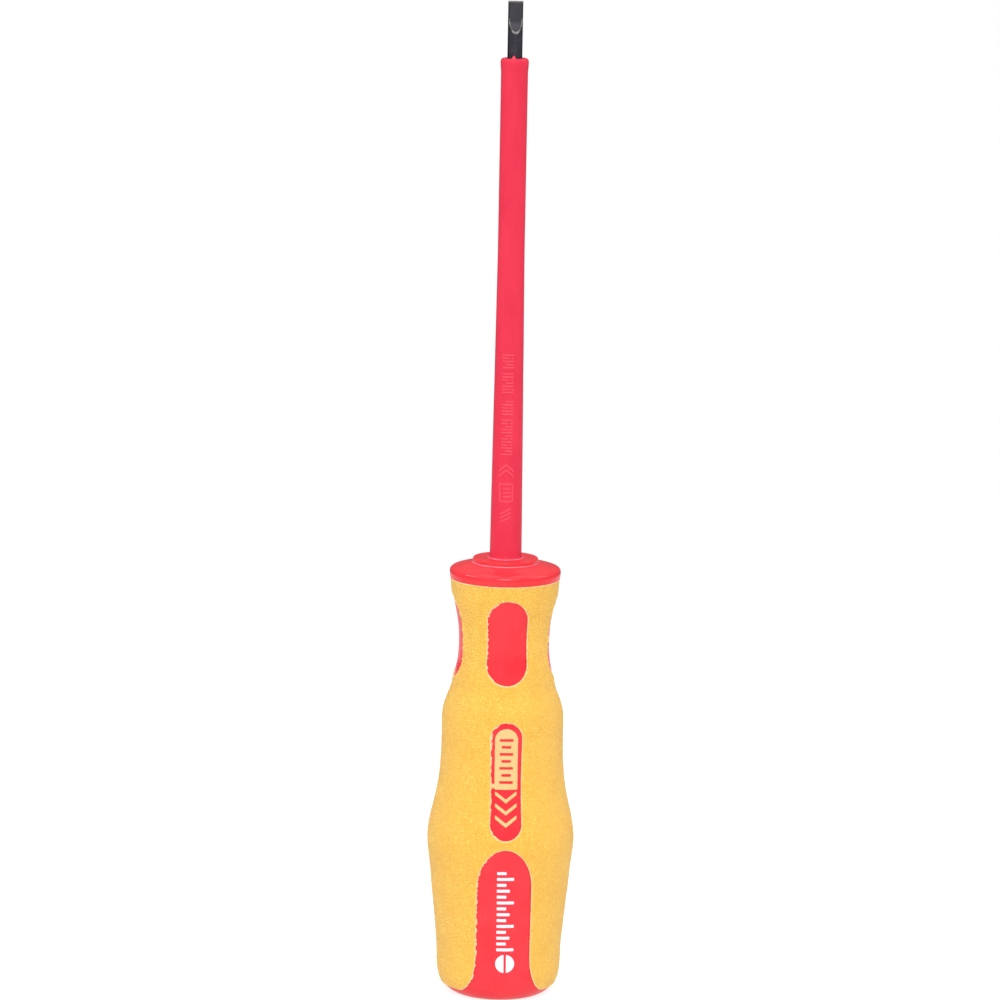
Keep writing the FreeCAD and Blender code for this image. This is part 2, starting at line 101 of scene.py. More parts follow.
def r_of_z(z):
    return np.interp(z, table_z, table_r)


def on_grip(phi, s, h=0.0):
    """A point of the grip: angle, length along the profile, height above it."""
    nr, nz = np.interp(s, table_s, slope_z), -np.interp(s, table_s, slope_r)
    r = r_at(s) + h * nr
    return np.stack([r * np.cos(phi), r * np.sin(phi), z_at(s) + h * nz], axis=-1)


def smooth(x, a, b):
    t = np.clip((x - a) / (b - a), 0, 1)
    return t * t * (3 - 2 * t)


# ---- noise --------------------------------------------------------------------------
def hash3(i, j, k, seed):
    n = (i.astype(np.int64) * 73856093) ^ (j.astype(np.int64) * 19349663) ^ (
        k.astype(np.int64) * 83492791
    ) ^ (seed * 2654435761)
    n = (n ^ (n >> 13)) * 1274126177 & 0x7FFFFFFF
    n = (n ^ (n >> 11)) * 668265263 & 0x7FFFFFFF
    return (n ^ (n >> 15)) / 2147483648.0


def value_noise(p, scale, seed=1):
    q = p / scale
    b = np.floor(q).astype(np.int64)
    f = q - b
    f = f * f * (3 - 2 * f)
    out = 0
    for dx in (0, 1):
        for dy in (0, 1):
            for dz in (0, 1):
                w = (
                    (f[:, 0] if dx else 1 - f[:, 0])
                    * (f[:, 1] if dy else 1 - f[:, 1])
                    * (f[:, 2] if dz else 1 - f[:, 2])
                )
                out = out + w * hash3(b[:, 0] + dx, b[:, 1] + dy, b[:, 2] + dz, seed)
    return out * 2 - 1


def cells(p, scale, seed=7):
    """Distance from the edge between the nearest two cells, as a share of a cell."""
    q = p / scale
    b = np.floor(q).astype(np.int64)
    best = np.full((2, len(p)), 9.0)
    for dx in (-1, 0, 1):
        for dy in (-1, 0, 1):
            for dz in (-1, 0, 1):
                i, j, k = b[:, 0] + dx, b[:, 1] + dy, b[:, 2] + dz
                c = np.stack(
                    [
                        i + 0.15 + 0.7 * hash3(i, j, k, seed),
                        j + 0.15 + 0.7 * hash3(i, j, k, seed + 1),
                        k + 0.15 + 0.7 * hash3(i, j, k, seed + 2),
                    ],
                    axis=1,
                )
                d = np.linalg.norm(q - c, axis=1)
                nearer = d < best[0]
                best[1] = np.where(nearer, best[0], np.minimum(best[1], d))
                best[0] = np.where(nearer, d, best[0])
    return best[1] - best[0]


# ---- mesh helpers -------------------------------------------------------------------
def make(name, verts, faces, attributes=None, flat=False):
    """verts in millimetres, faces as index lists, written as one object in metres."""
    mesh = bpy.data.meshes.new(name)
    mesh.from_pydata((np.asarray(verts) * 0.001).tolist(), [], [list(map(int, f)) for f in faces])
    mesh.validate()
    mesh.polygons.foreach_set("use_smooth", [not flat] * len(mesh.polygons))
    for key, data in (attributes or {}).items():
        a = mesh.attributes.new(key, "FLOAT", "POINT")
        a.data.foreach_set("value", np.asarray(data, dtype=np.float32))
    mesh.update()
    obj = bpy.data.objects.new(name, mesh)
    scene.collection.objects.link(obj)
    return obj


def outward(obj):
    """Turns a closed mesh so that its volume is positive."""
    mesh = obj.data
    n = len(mesh.vertices)
    co = np.empty(n * 3)
    mesh.vertices.foreach_get("co", co)
    co = co.reshape(-1, 3)
    mesh.calc_loop_triangles()
    tri = np.empty(len(mesh.loop_triangles) * 3, dtype=np.int32)
    mesh.loop_triangles.foreach_get("vertices", tri)
    a, b, c = (co[tri.reshape(-1, 3)[:, k]] for k in range(3))
    if np.einsum("ij,ij->i", a, np.cross(b, c)).sum() < 0:
        mesh.flip_normals()


def inside(polygon, points):
    x, y = points[:, 0], points[:, 1]
    result = np.zeros(len(points), bool)
    px, py = polygon[:, 0], polygon[:, 1]
    qx, qy = np.roll(px, -1), np.roll(py, -1)
    for ax, ay, bx, by in zip(px, py, qx, qy):
        if ay == by:
            continue
        hit = (ay > y) != (by > y)
        result ^= hit & (x < (bx - ax) * (y - ay) / (by - ay) + ax)
    return result


def triangulate(points, loops, outer):
    """Triangles of points whose first ones are the loops (lists of counts), the outer
    loop's number given. Points must be in order: loop after loop, then the fill."""
    edges, start, starts = [], 0, []
    for count in loops:
        starts.append(start)
        edges += [(start + i, start + (i + 1) % count) for i in range(count)]
        start += count
    out = delaunay_2d_cdt([Vector(p) for p in points.tolist()], edges, [], 0, 1e-7)
    if len(out[0]) != len(points):
        raise RuntimeError("the triangulation merged or added points")
    back = [o[0] for o in out[3]]
    tri = np.array([[back[v] for v in f] for f in out[2]])
    ambiguous = (tri < start).all(axis=1)
    keep = np.ones(len(tri), bool)
    centre = points[tri[ambiguous]].mean(axis=1)
    ok = np.ones(len(centre), bool)
    for k, count in enumerate(loops):
        within = inside(points[starts[k]: starts[k] + count], centre)
        ok &= within if k == outer else ~within
    keep[ambiguous] = ok
    return tri[keep]


def resample(points, step, closed=True, metric=None):
    """Evenly spaced points along a polyline; metric gives the true lengths."""
    if closed:
        points = np.vstack([points, points[:1]])
    d = np.diff(points, axis=0)
    if metric is not None:
        d = d * metric(0.5 * (points[1:] + points[:-1]))
    along = np.concatenate([[0], np.cumsum(np.hypot(d[:, 0], d[:, 1]))])
    n = max(8, int(round(along[-1] / step)))
    t = np.linspace(0, along[-1], n + 1)
    if closed:
        t = t[:-1]
    return np.stack([np.interp(t, along, points[:, k]) for k in range(2)], axis=1)


# ---- outlines seen from the front or the side ----------------------------------------
def obround_outline(half, low, high, n=60):
    a = np.linspace(0, math.pi, n)
    top = np.stack([half * np.cos(a), high - half + half * np.sin(a)], axis=1)
    bottom = np.stack([-half * np.cos(a), low + half - half * np.sin(a)], axis=1)
    return np.vstack([top, bottom])


STRIP_HALF, STRIP_TOP, STRIP_ARCH, STRIP_FLARE, FLARE_WIDTH = 5.46, 32.4, 24.4, 9.7, 3.6
SLEEVE_LOW = 1.9


def strip_outline():
    """The strip's right side from the sleeve's lower edge to the top of its arch."""
    floor_z = SLEEVE_LOW - 0.2
    drop = STRIP_FLARE - floor_z
    t0 = math.asin((STRIP_FLARE - SLEEVE_LOW) / drop)
    t = np.linspace(t0, 0, 60)
    flare = np.stack(
        [STRIP_HALF + FLARE_WIDTH * (1 - np.cos(t)), STRIP_FLARE - drop * np.sin(t)], axis=1
    )
    a = np.linspace(0, math.pi / 2, 60)
    arch = np.stack(
        [STRIP_HALF * np.cos(a), STRIP_ARCH + (STRIP_TOP - STRIP_ARCH) * np.sin(a)], axis=1
    )
    return np.vstack([flare, arch])


def to_grip(outline, facing):
    """An outline (across, z) projected on the grip, as (phi, s). facing is the angle that
    its middle faces."""
    across, z = outline[:, 0], outline[:, 1]
    delta = np.arcsin(np.clip(across / r_of_z(z), -1, 1))
    return np.stack([facing + delta, s_at(z)], axis=1)


FRONT, REAR, RIGHT, LEFT = 1.5 * math.pi, 0.5 * math.pi, 2.0 * math.pi, math.pi
SEAM = math.radians(212)


def wrapped(phi):
    return (phi - SEAM) % (2 * math.pi) + SEAM


def grip_metric(p):
    return np.stack([r_at(p[:, 1]), np.ones(len(p))], axis=1)


# ---- the soft sleeve ------------------------------------------------------------------
ROWS = [(0.58, 0.0), (0.43, 0.012), (0.31, 0.032), (0.21, 0.04), (0.13, 0.028), (0.07, 0.0),
        (0.025, -0.045), (0.0, -0.105)]
WALLS = [0.165, 0.235, 0.268, 0.305, 0.38, 1.7]
S_TOP = float(s_at(85.0))


def sleeve_loops():
    """Every edge of the sleeve as (points (phi, s), facing angle or None, hole)."""
    loops = []
    neck = obround_outline(4.03, 64.75, 82.0)
    for facing in (FRONT, REAR, RIGHT, LEFT):
        loops.append((to_grip(neck, facing), facing, "hole"))
    badge = obround_outline(3.16, 34.2, 57.75)
    for facing in (FRONT, REAR):
        loops.append((to_grip(badge, facing), facing, "hole"))
    # the lower edge, once round from the seam: sides at SLEEVE_LOW, strips front and rear
    half = strip_outline()
    whole = np.vstack([half * [-1, 1], half[::-1][1:]])  # from left to right
    low = s_at(SLEEVE_LOW)
    path = []
    front = to_grip(whole, FRONT)
    rear = to_grip(whole, REAR + 2 * math.pi)
    path.append(np.stack([np.linspace(SEAM, front[0, 0], 30)[:-1], np.full(29, low)], axis=1))
    path.append(front)
    path.append(
        np.stack([np.linspace(front[-1, 0], rear[0, 0], 80)[1:-1], np.full(78, low)], axis=1)
    )
    path.append(rear)
    path.append(
        np.stack([np.linspace(rear[-1, 0], SEAM + 2 * math.pi, 60)[1:], np.full(59, low)], axis=1)
    )
    loops.append((np.vstack(path), None, "low"))
    ring = np.linspace(SEAM, SEAM + 2 * math.pi, 300)
    loops.append((np.stack([ring, np.full(300, S_TOP)], axis=1), None, "top"))
    return loops


def grip_skin():
    step = 0.25
    verts, rim, faces, count = [], [], [], 0
    domain, loop_sizes, loop_first = [], [], []
    flash_seed = 31
    edge_cloud = []
    for path, facing, kind in sleeve_loops():
        if kind == "hole":
            base = resample(path, step, True, grip_metric)
        else:
            base = resample(path, step, False, grip_metric)[:-1]
        n = len(base)
        ahead, behind = np.roll(base, -1, axis=0), np.roll(base, 1, axis=0)
        if kind != "hole":
            ahead[-1, 0] += 2 * math.pi
            behind[0, 0] -= 2 * math.pi
        r = r_at(base[:, 1])
        t = (ahead - behind) * np.stack([r, np.ones(n)], axis=1)
        t /= np.linalg.norm(t, axis=1)[:, None]
        normal = np.stack([t[:, 1], -t[:, 0]], axis=1)
        if kind == "hole":
            middle = base.mean(axis=0)
            if ((base - middle) * normal).sum() < 0:
                normal = -normal
        elif kind == "low" and normal[:, 1].mean() < 0:
            normal = -normal
        elif kind == "top" and normal[:, 1].mean() > 0:
            normal = -normal
        if kind == "low":  # a little smoothing where the strip's edge meets the lower edge
            for _ in range(6):
                normal = normal + np.roll(normal, 1, axis=0) + np.roll(normal, -1, axis=0)
                normal /= np.linalg.norm(normal, axis=1)[:, None]
        # flash: thin ragged skin on the pads, mostly on the left edges
        first = on_grip(base[:, 0], base[:, 1])
        edge_cloud.append(first)
        if kind == "top":
            flash = np.zeros(n)
        else:
            left = np.clip(normal[:, 0] * -1.0, 0, 1)
            if facing in (RIGHT, LEFT):
                left = 1.2 * np.abs(normal[:, 0])
            upper = np.clip(normal[:, 1], 0, 1) if kind == "hole" else 0 * left
            teeth = 0.5 + 0.5 * value_noise(first, 0.36, flash_seed)
            broad = 0.5 + 0.5 * value_noise(first, 4.0, flash_seed + 1)
            teeth = smooth(teeth, 0.25, 0.75)
            flash = 0.02 + (0.30 * left * (0.35 + broad) + 0.15 * upper) * teeth
            if facing is None:  # none along the plain lower edge at the sides
                flash *= np.where(base[:, 1] < s_at(SLEEVE_LOW) + 0.05, 0.25, 1.0)
        # rows from the outermost towards the edge, then down the wall
        rows = []
        for d, h in ROWS:
            p = base + normal * d / np.stack([r, np.ones(n)], axis=1)
            wave = 0.008 * value_noise(first, 0.9, 5) * (1 if 0 < d < 0.5 else 0)
            if facing in (RIGHT, LEFT) and d < 0.1:
                wave = wave + 0.16 * teeth * np.abs(normal[:, 0])
            # the second value is the rim mask, 1 at the edge and down the wall: the material paints the sleeve
            # lighter there, partly paler flash and partly a painted highlight on the rolled lip
            rows.append((on_grip(p[:, 0], p[:, 1], h + wave), 1 - smooth(d, 0.06, 0.22)))
            if d == ROWS[0][0]:
                domain.append(p)
                loop_sizes.append(n)
        for depth in WALLS:
            f = {0.235: 0.55, 0.268: 1.0, 0.305: 1.0}.get(depth, 0.0)
            p = base - normal * (flash * f)[:, None] / np.stack([r, np.ones(n)], axis=1)
            rr, z = r_at(p[:, 1]), z_at(p[:, 1])
            x, y = rr * np.cos(p[:, 0]), rr * np.sin(p[:, 0])
            small = rr - depth
            radial = np.stack([small * np.cos(p[:, 0]), small * np.sin(p[:, 0])], axis=1)
            if kind == "hole" or kind == "low":
                if facing in (FRONT, REAR) or facing is None:
                    yy = np.sign(y) * np.sqrt(np.maximum(small**2 - x**2, 0.01))
                    straight = np.stack([x, yy], axis=1)
                else:
                    xx = np.sign(x) * np.sqrt(np.maximum(small**2 - y**2, 0.01))
                    straight = np.stack([xx, y], axis=1)
                if kind == "low":
                    share = smooth(base[:, 1], s_at(SLEEVE_LOW) + 0.02, s_at(SLEEVE_LOW) + 1.5)
                    share = share[:, None]
                    a0 = np.arctan2(radial[:, 1], radial[:, 0])
                    a1 = np.arctan2(straight[:, 1], straight[:, 0])
                    turn = (a1 - a0 + math.pi) % (2 * math.pi) - math.pi
                    a = a0 + turn * share[:, 0]
                    radial = np.stack([small * np.cos(a), small * np.sin(a)], axis=1)
                else:
                    radial = straight
            rows.append((np.column_stack([radial, z]), np.full(n, 1.0)))
        start = count
        loop_first.append(start)
        for points, share in rows:
            verts.append(points)
            rim.append(np.full(n, share) if np.isscalar(share) else share)
            count += n
        for k in range(len(rows) - 1):
            a, b = start + k * n, start + (k + 1) * n
            for i in range(n):
                j = (i + 1) % n
                faces.append((a + i, a + j, b + j, b + i))
    # seam points, shared by both sides
    low_row, top_row = domain[6], domain[7]
    s0, s1 = low_row[0, 1], top_row[0, 1]
    m = int((s1 - s0) / 0.3)
    seam_s = np.linspace(s0, s1, m + 1)[1:-1]
    cloud = np.vstack(edge_cloud)
    tree = KDTree(len(cloud))
    for i, p in enumerate(cloud):
        tree.insert(p, i)
    tree.balance()
    # fill points on staggered rows
    fill = []
    spacing = 0.322
    line, s = 0, s0 - 3.0
    while s < S_TOP:
        around = 2 * math.pi * r_at(s)
        k = int(around / spacing)
        phi = SEAM + (np.arange(k) + 0.5 * (line % 2) + 0.25) / k * 2 * math.pi
        phi += rng.uniform(-0.06, 0.06, k) / r_at(s)
        fill.append(np.stack([phi, np.full(k, s) + rng.uniform(-0.04, 0.04, k)], axis=1))
        s += spacing * 0.866
        line += 1
    fill = np.vstack(fill)
    near_seam = np.minimum(
        np.abs(fill[:, 0] - SEAM), np.abs(fill[:, 0] - SEAM - 2 * math.pi)
    ) * r_at(fill[:, 1])
    fill = fill[(near_seam > 0.17) & (fill[:, 0] > SEAM) & (fill[:, 0] < SEAM + 2 * math.pi)]
    xyz = on_grip(fill[:, 0], fill[:, 1])
    dist = np.array([tree.find(p)[2] for p in xyz])
    fill, xyz, dist = fill[dist > 0.76], xyz[dist > 0.76], dist[dist > 0.76]
    # inside the sleeve only: above the lower edge, outside the windows
    ok = np.ones(len(fill), bool)
    flat = fill * [12.0, 1.0]
    for k in range(6):
        loop = domain[k].copy()
        for shift in (0, -2 * math.pi, 2 * math.pi):
            test = (loop + [shift, 0]) * [12.0, 1.0]
            box = (
                (flat[:, 0] > test[:, 0].min()) & (flat[:, 0] < test[:, 0].max())
                & (flat[:, 1] > test[:, 1].min()) & (flat[:, 1] < test[:, 1].max())
            )
            if box.any():
                ok[np.where(box)[0][inside(test, flat[box])]] = False
    low_line = np.interp(fill[:, 0], np.append(low_row[:, 0], low_row[0, 0] + 2 * math.pi),
                         np.append(low_row[:, 1], low_row[0, 1]))
    # the strips' sides are steep, so a polygon test decides there
    outline = np.vstack([low_row, [[low_row[0, 0] + 2 * math.pi, low_row[0, 1]]],
                         [[top_row[0, 0] + 2 * math.pi, s1]], top_row[::-1]]) * [12.0, 1.0]
    ok &= inside(outline, flat)
    del low_line
    fill, xyz, dist = fill[ok], xyz[ok], dist[ok]
    verts, rim, faces_tail = [np.vstack(verts)], [np.concatenate(rim)], []
    # assemble the outer domain: the border first, then the holes, then the fill
    border, border_ids = [], []
    for i, p in enumerate(low_row):
        border.append(p)
        border_ids.append(loop_first[6] + i)
    border.append((low_row[0, 0] + 2 * math.pi, low_row[0, 1]))
    border_ids.append(loop_first[6])
    seam_ids = count + np.arange(len(seam_s))
    seam_xyz = on_grip(np.full(len(seam_s), SEAM), seam_s)
    count += len(seam_s)
    for s, i in zip(seam_s, seam_ids):
        border.append((SEAM + 2 * math.pi, s))
        border_ids.append(i)
    border.append((SEAM + 2 * math.pi, s1))
    border_ids.append(loop_first[7])
    for i in range(len(top_row) - 1, -1, -1):
        border.append(top_row[i])
        border_ids.append(loop_first[7] + i)
    for s, i in zip(seam_s[::-1], seam_ids[::-1]):
        border.append((SEAM, s))
        border_ids.append(i)
    points, ids, sizes = [np.array(border)], list(border_ids), [len(border)]
    for k in range(6):
        p = domain[k].copy()
        shift = 2 * math.pi * round(((SEAM + math.pi) - p[:, 0].mean()) / (2 * math.pi))
        p[:, 0] += shift
        points.append(p)
        ids += [loop_first[k] + i for i in range(len(p))]
        sizes.append(len(p))
    points.append(fill)
    fill_ids = count + np.arange(len(fill))
    ids += fill_ids.tolist()
    count += len(fill)
    points = np.vstack(points)
    ids = np.array(ids)
    tri = triangulate(points * [12.0, 1.0], sizes, 0)
    faces += ids[tri].tolist()
    # leather grain on the fill and the seam, fading towards every edge
    everywhere = np.vstack([seam_xyz, xyz])
    edge = np.concatenate([np.array([tree.find(p)[2] for p in seam_xyz]), dist])
    warp = np.stack([value_noise(everywhere, 1.3, 11 + k) for k in range(3)], axis=1) * 0.22
    pebble = smooth(cells(everywhere + warp, 0.95), 0.02, 0.42)
    grain = 0.06 * (pebble - 0.6) + 0.012 * value_noise(everywhere, 0.6, 3)
    grain += 0.012 * value_noise(everywhere, 2.6, 4)
    grain *= smooth(edge, 0.55, 1.3)
    sp = np.concatenate([seam_s, fill[:, 1]])
    ph = np.concatenate([np.full(len(seam_s), SEAM), fill[:, 0]])
    verts.append(on_grip(ph, sp, grain))
    rim.append(np.zeros(len(ph)))
    # the inner surface, coarse
    inner_first = [loop_first[k] + (len(ROWS) + len(WALLS) - 1) * loop_sizes[k] for k in range(8)]
    all_verts = np.vstack(verts)
    inner_loops = []
    for k in range(8):
        p = all_verts[inner_first[k]: inner_first[k] + loop_sizes[k]]
        phi = np.arctan2(p[:, 1], p[:, 0])
        if k < 6:
            mid = math.atan2(p[:, 1].mean(), p[:, 0].mean())
            phi = mid + (phi - mid + math.pi) % (2 * math.pi) - math.pi
            phi += 2 * math.pi * round(((SEAM + math.pi) - mid) / (2 * math.pi))
        else:
            phi = SEAM + np.unwrap(phi - SEAM)
            phi -= 2 * math.pi * round((phi[0] - SEAM) / (2 * math.pi))
        inner_loops.append(np.stack([phi, s_at(p[:, 2])], axis=1))
    low_row, top_row = inner_loops[6], inner_loops[7]
    m = int((top_row[0, 1] - low_row[0, 1]) / 1.3)
    seam_s2 = np.linspace(low_row[0, 1], top_row[0, 1], m + 1)[1:-1]
    border, border_ids = [], []
    for i, p in enumerate(low_row):
        border.append(p)
        border_ids.append(inner_first[6] + i)
    border.append((low_row[0, 0] + 2 * math.pi, low_row[0, 1]))
    border_ids.append(inner_first[6])
    seam_ids = count + np.arange(len(seam_s2))
    count += len(seam_s2)
    for s, i in zip(seam_s2, seam_ids):
        border.append((low_row[0, 0] + 2 * math.pi, s))
        border_ids.append(i)
    border.append((top_row[0, 0] + 2 * math.pi, top_row[0, 1]))
    border_ids.append(inner_first[7])
    for i in range(len(top_row) - 1, -1, -1):
        border.append(top_row[i])
        border_ids.append(inner_first[7] + i)
    for s, i in zip(seam_s2[::-1], seam_ids[::-1]):
        border.append((low_row[0, 0], s))
        border_ids.append(i)
    fill2 = []
    for line, s in enumerate(np.arange(low_row[:, 1].min() + 1, S_TOP - 0.8, 1.2)):
        k = int(2 * math.pi * (r_at(s) - 1.7) / 1.35)
        phi = SEAM + (np.arange(k) + 0.5 * (line % 2) + 0.25) / k * 2 * math.pi
        fill2.append(np.stack([phi, np.full(k, s)], axis=1))
    fill2 = np.vstack(fill2)
    fill2 = fill2[(np.abs(fill2[:, 0] - SEAM) > 0.05)
                  & (np.abs(fill2[:, 0] - SEAM - 2 * math.pi) > 0.05)]
    inner_cloud = np.vstack([all_verts[f: f + n] for f, n in zip(inner_first, loop_sizes)])
    tree2 = KDTree(len(inner_cloud))
    for i, p in enumerate(inner_cloud):
        tree2.insert(p, i)
    tree2.balance()
    rr = r_at(fill2[:, 1]) - 1.7
    xyz2 = np.stack([rr * np.cos(fill2[:, 0]), rr * np.sin(fill2[:, 0]), z_at(fill2[:, 1])], axis=1)
    ok = np.array([tree2.find(p)[2] for p in xyz2]) > 0.5
    flat = fill2 * [12.0, 1.0]
    for k in range(6):
        ok &= ~inside(inner_loops[k] * [12.0, 1.0], flat)
    ok &= inside(np.array(border) * [12.0, 1.0], flat)
    fill2, xyz2 = fill2[ok], xyz2[ok]
    rs = r_at(seam_s2) - 1.7
    verts.append(
        np.stack([rs * math.cos(SEAM), rs * math.sin(SEAM), z_at(seam_s2)], axis=1)
    )
    rim.append(np.zeros(len(seam_s2)))
    verts.append(xyz2)
    rim.append(np.zeros(len(xyz2)))
    points, ids, sizes = [np.array(border)], list(border_ids), [len(border)]
    for k in range(6):
        points.append(inner_loops[k])
        ids += [inner_first[k] + i for i in range(loop_sizes[k])]
        sizes.append(loop_sizes[k])
    points.append(fill2)
    ids += (count + np.arange(len(fill2))).tolist()
    tri = triangulate(np.vstack(points) * [12.0, 1.0], sizes, 0)
    faces += np.array(ids)[tri].tolist()
    obj = make("grip_skin", np.vstack(verts), faces, {"rim": np.concatenate(rim)})
    return obj


def tidy_normals(obj):
    """One consistent, outward winding for a closed mesh."""
    import bmesh

    bm = bmesh.new()
    bm.from_mesh(obj.data)
    bmesh.ops.recalc_face_normals(bm, faces=bm.faces)
    loose = [e for e in bm.edges if len(e.link_faces) != 2]
    print("MESH", obj.name, "verts", len(bm.verts), "faces", len(bm.faces), "open edges", len(loose))
    bm.to_mesh(obj.data)
    bm.free()
    outward(obj)


# ---- the sheath, with raised generic marks ---------------------------------------------
def bez(a, b, c, d, n):
    t = np.linspace(0, 1, n)[:, None]
    a, b, c, d = map(np.array, (a, b, c, d))
    return (1 - t) ** 3 * a + 3 * (1 - t) ** 2 * t * b + 3 * (1 - t) * t * t * c + t**3 * d


def box_sdf(x, y, cx, cy, hx, hy, turn=0.0):
    c, s = math.cos(turn), math.sin(turn)
    u, v = (x - cx) * c + (y - cy) * s, -(x - cx) * s + (y - cy) * c
    dx, dy = np.abs(u) - hx, np.abs(v) - hy
    return np.hypot(np.maximum(dx, 0), np.maximum(dy, 0)) + np.minimum(np.maximum(dx, dy), 0)


def marks_height(x, z):
    """Raised moulded marks: graduated ticks in groups, two chevrons, a frame, some strokes."""
    d = np.full(x.shape, 9.0)
    pattern = [0, 1, 0, 3, 0, 9, 0, 0, 1, 3, 0, 1, 0, 9, 9, 3, 0, 1, 0, 0, 9, 0, 1, 3, 0, 0, 3, 1, 0, 1, 0, 3, 0]
    for k, kind in enumerate(pattern):
        c = 130.2 - k * 0.62
        if kind == 0:
            d = np.minimum(d, box_sdf(x, z, 0.0, c, 1.1, 0.09))
        elif kind == 1:
            d = np.minimum(d, box_sdf(x, z, -0.5, c, 0.6, 0.09))
            d = np.minimum(d, box_sdf(x, z, 0.85, c, 0.22, 0.09))
        elif kind == 3:
            d = np.minimum(d, box_sdf(x, z, 0.35, c, 0.7, 0.09))
    for rise in (0.0, 1.0):  # chevrons
        for side in (-1, 1):
            d = np.minimum(d, box_sdf(x, z, side * 0.72, 106.6 + rise, 0.98, 0.1, -side * 0.72))
    ring = np.abs(box_sdf(x, z, 0.0, 102.6, 1.3, 1.75)) - 0.09
    d = np.minimum(d, ring)
    for k in range(3):
        d = np.minimum(d, box_sdf(x, z, 0.15, 101.8 + 0.8 * k, 0.75, 0.09))
    for k in range(3):  # slanting strokes
        d = np.minimum(d, box_sdf(x, z, 0.0, 98.9 - k * 0.85, 1.15, 0.1, 0.5))
    return 0.11 * (1 - smooth(d, -0.02, 0.07))


def sheath_skin():
    path = [np.array([[1.475, 78.5], [2.95, 78.5], [3.19, 78.7], [3.19, 84.0], [3.19, 88.8]])]
    path.append(np.array([[3.19, 89.06], [3.38, 89.07]]))
    path.append(bez((3.47, 89.08), (3.32, 89.18), (3.21, 89.6), (3.182, 90.15), 9))
    cone = np.arange(90.6, 95.4, 0.5)
    fine = np.arange(95.5, 131.0, 0.06)
    rough = np.concatenate([np.arange(131.6, 149.6, 0.8), np.arange(150, 185.8, 1.0)])
    z = np.concatenate([cone, fine, rough])
    r = np.interp(z, [90.15, 150.0, 187], [3.182, 2.66, 2.66])
    path.append(np.stack([r, z], axis=1))
    path.append(bez((2.66, 185.9), (2.67, 186.6), (2.79, 187.2), (2.79, 187.95), 10))
    path.append(bez((2.79, 187.95), (2.79, 188.5), (2.6, 188.72), (2.24, 188.8), 9)[1:])
    path.append(np.array([[2.0, 188.79], [1.75, 188.76], [1.6, 188.7], [1.5, 188.58], [1.475, 188.4],
                          [1.475, 170.0], [1.475, 140.0], [1.475, 110.0], [1.475, 88.0]]))
    path = np.vstack(path)
    mark_angle = FRONT - math.radians(7.6)
    fine_phi = np.arange(-1.6, 1.6001, 0.055) / 2.9
    coarse = np.linspace(fine_phi[-1], fine_phi[0] + 2 * math.pi, 40)[1:-1]
    phi = np.concatenate([fine_phi, coarse]) + mark_angle
    n, m = len(phi), len(path)
    R = np.repeat(path[:, 0][:, None], n, axis=1)
    Z = np.repeat(path[:, 1][:, None], n, axis=1)
    P = np.repeat(phi[None, :], m, axis=0)
    outer = np.zeros((m, n), bool)
    outer[(path[:, 0] > 2.55) & (path[:, 1] > 89.2) & (path[:, 1] < 188.5)] = True
    x = (P - mark_angle + math.pi) % (2 * math.pi) - math.pi
    h = np.where((Z > 93) & (Z < 132) & (R > 2), marks_height(x * R, Z), 0)
    xyz = np.stack([R * np.cos(P), R * np.sin(P), Z], axis=-1).reshape(-1, 3)
    uneven = 0.012 * value_noise(xyz, 6.0, 21) + 0.004 * value_noise(xyz, 0.9, 22)
    h = h + np.where(outer, uneven.reshape(m, n), 0)
    # a small nub of flash at the front of the lip
    nub = np.exp(-(((x + 0.02) * 2.4 / 0.35) ** 2)) * smooth(Z, 188.3, 188.78) * (R < 2.6) * (R > 1.7)
    h = h + 0.0 * nub
    Z = Z + 0.62 * nub * (path[:, 1][:, None] > 188)
    R = R + h
    xyz = np.stack([R * np.cos(P), R * np.sin(P), Z], axis=-1).reshape(-1, 3)
    faces = []
    for k in range(m):
        a, b = k * n, ((k + 1) % m) * n
        faces += [(a + i, a + (i + 1) % n, b + (i + 1) % n, b + i) for i in range(n)]
    # the raised mask picks the marks and the nub's tip, which the material paints lighter as a painted highlight
    raised = np.where((h > 0.03) | (nub > 0.5), 1.0, 0.0).reshape(-1)
    return make("sheath_skin", xyz, faces, {"raised": raised})


# ---- raised shapes that follow the grip: the badge inlays and the white marking ----------
def rounded(corners, radius, step=0.07):
    """A polygon with rounded corners, sampled evenly."""
    corners = np.array(corners, float)
    n, out = len(corners), []
    for i in range(n):
        a, b, c = corners[i - 1], corners[i], corners[(i + 1) % n]
        u, v = (a - b) / np.linalg.norm(a - b), (c - b) / np.linalg.norm(c - b)
        half = 0.5 * math.acos(np.clip(u @ v, -1, 1))
        back = min(radius / math.tan(half), 0.45 * np.linalg.norm(a - b), 0.45 * np.linalg.norm(c - b))
        p, q = b + u * back, b + v * back
        for t in np.linspace(0, 1, 7):
            out.append((1 - t) ** 2 * p + 2 * t * (1 - t) * b + t * t * q)
    return resample(np.array(out), step)


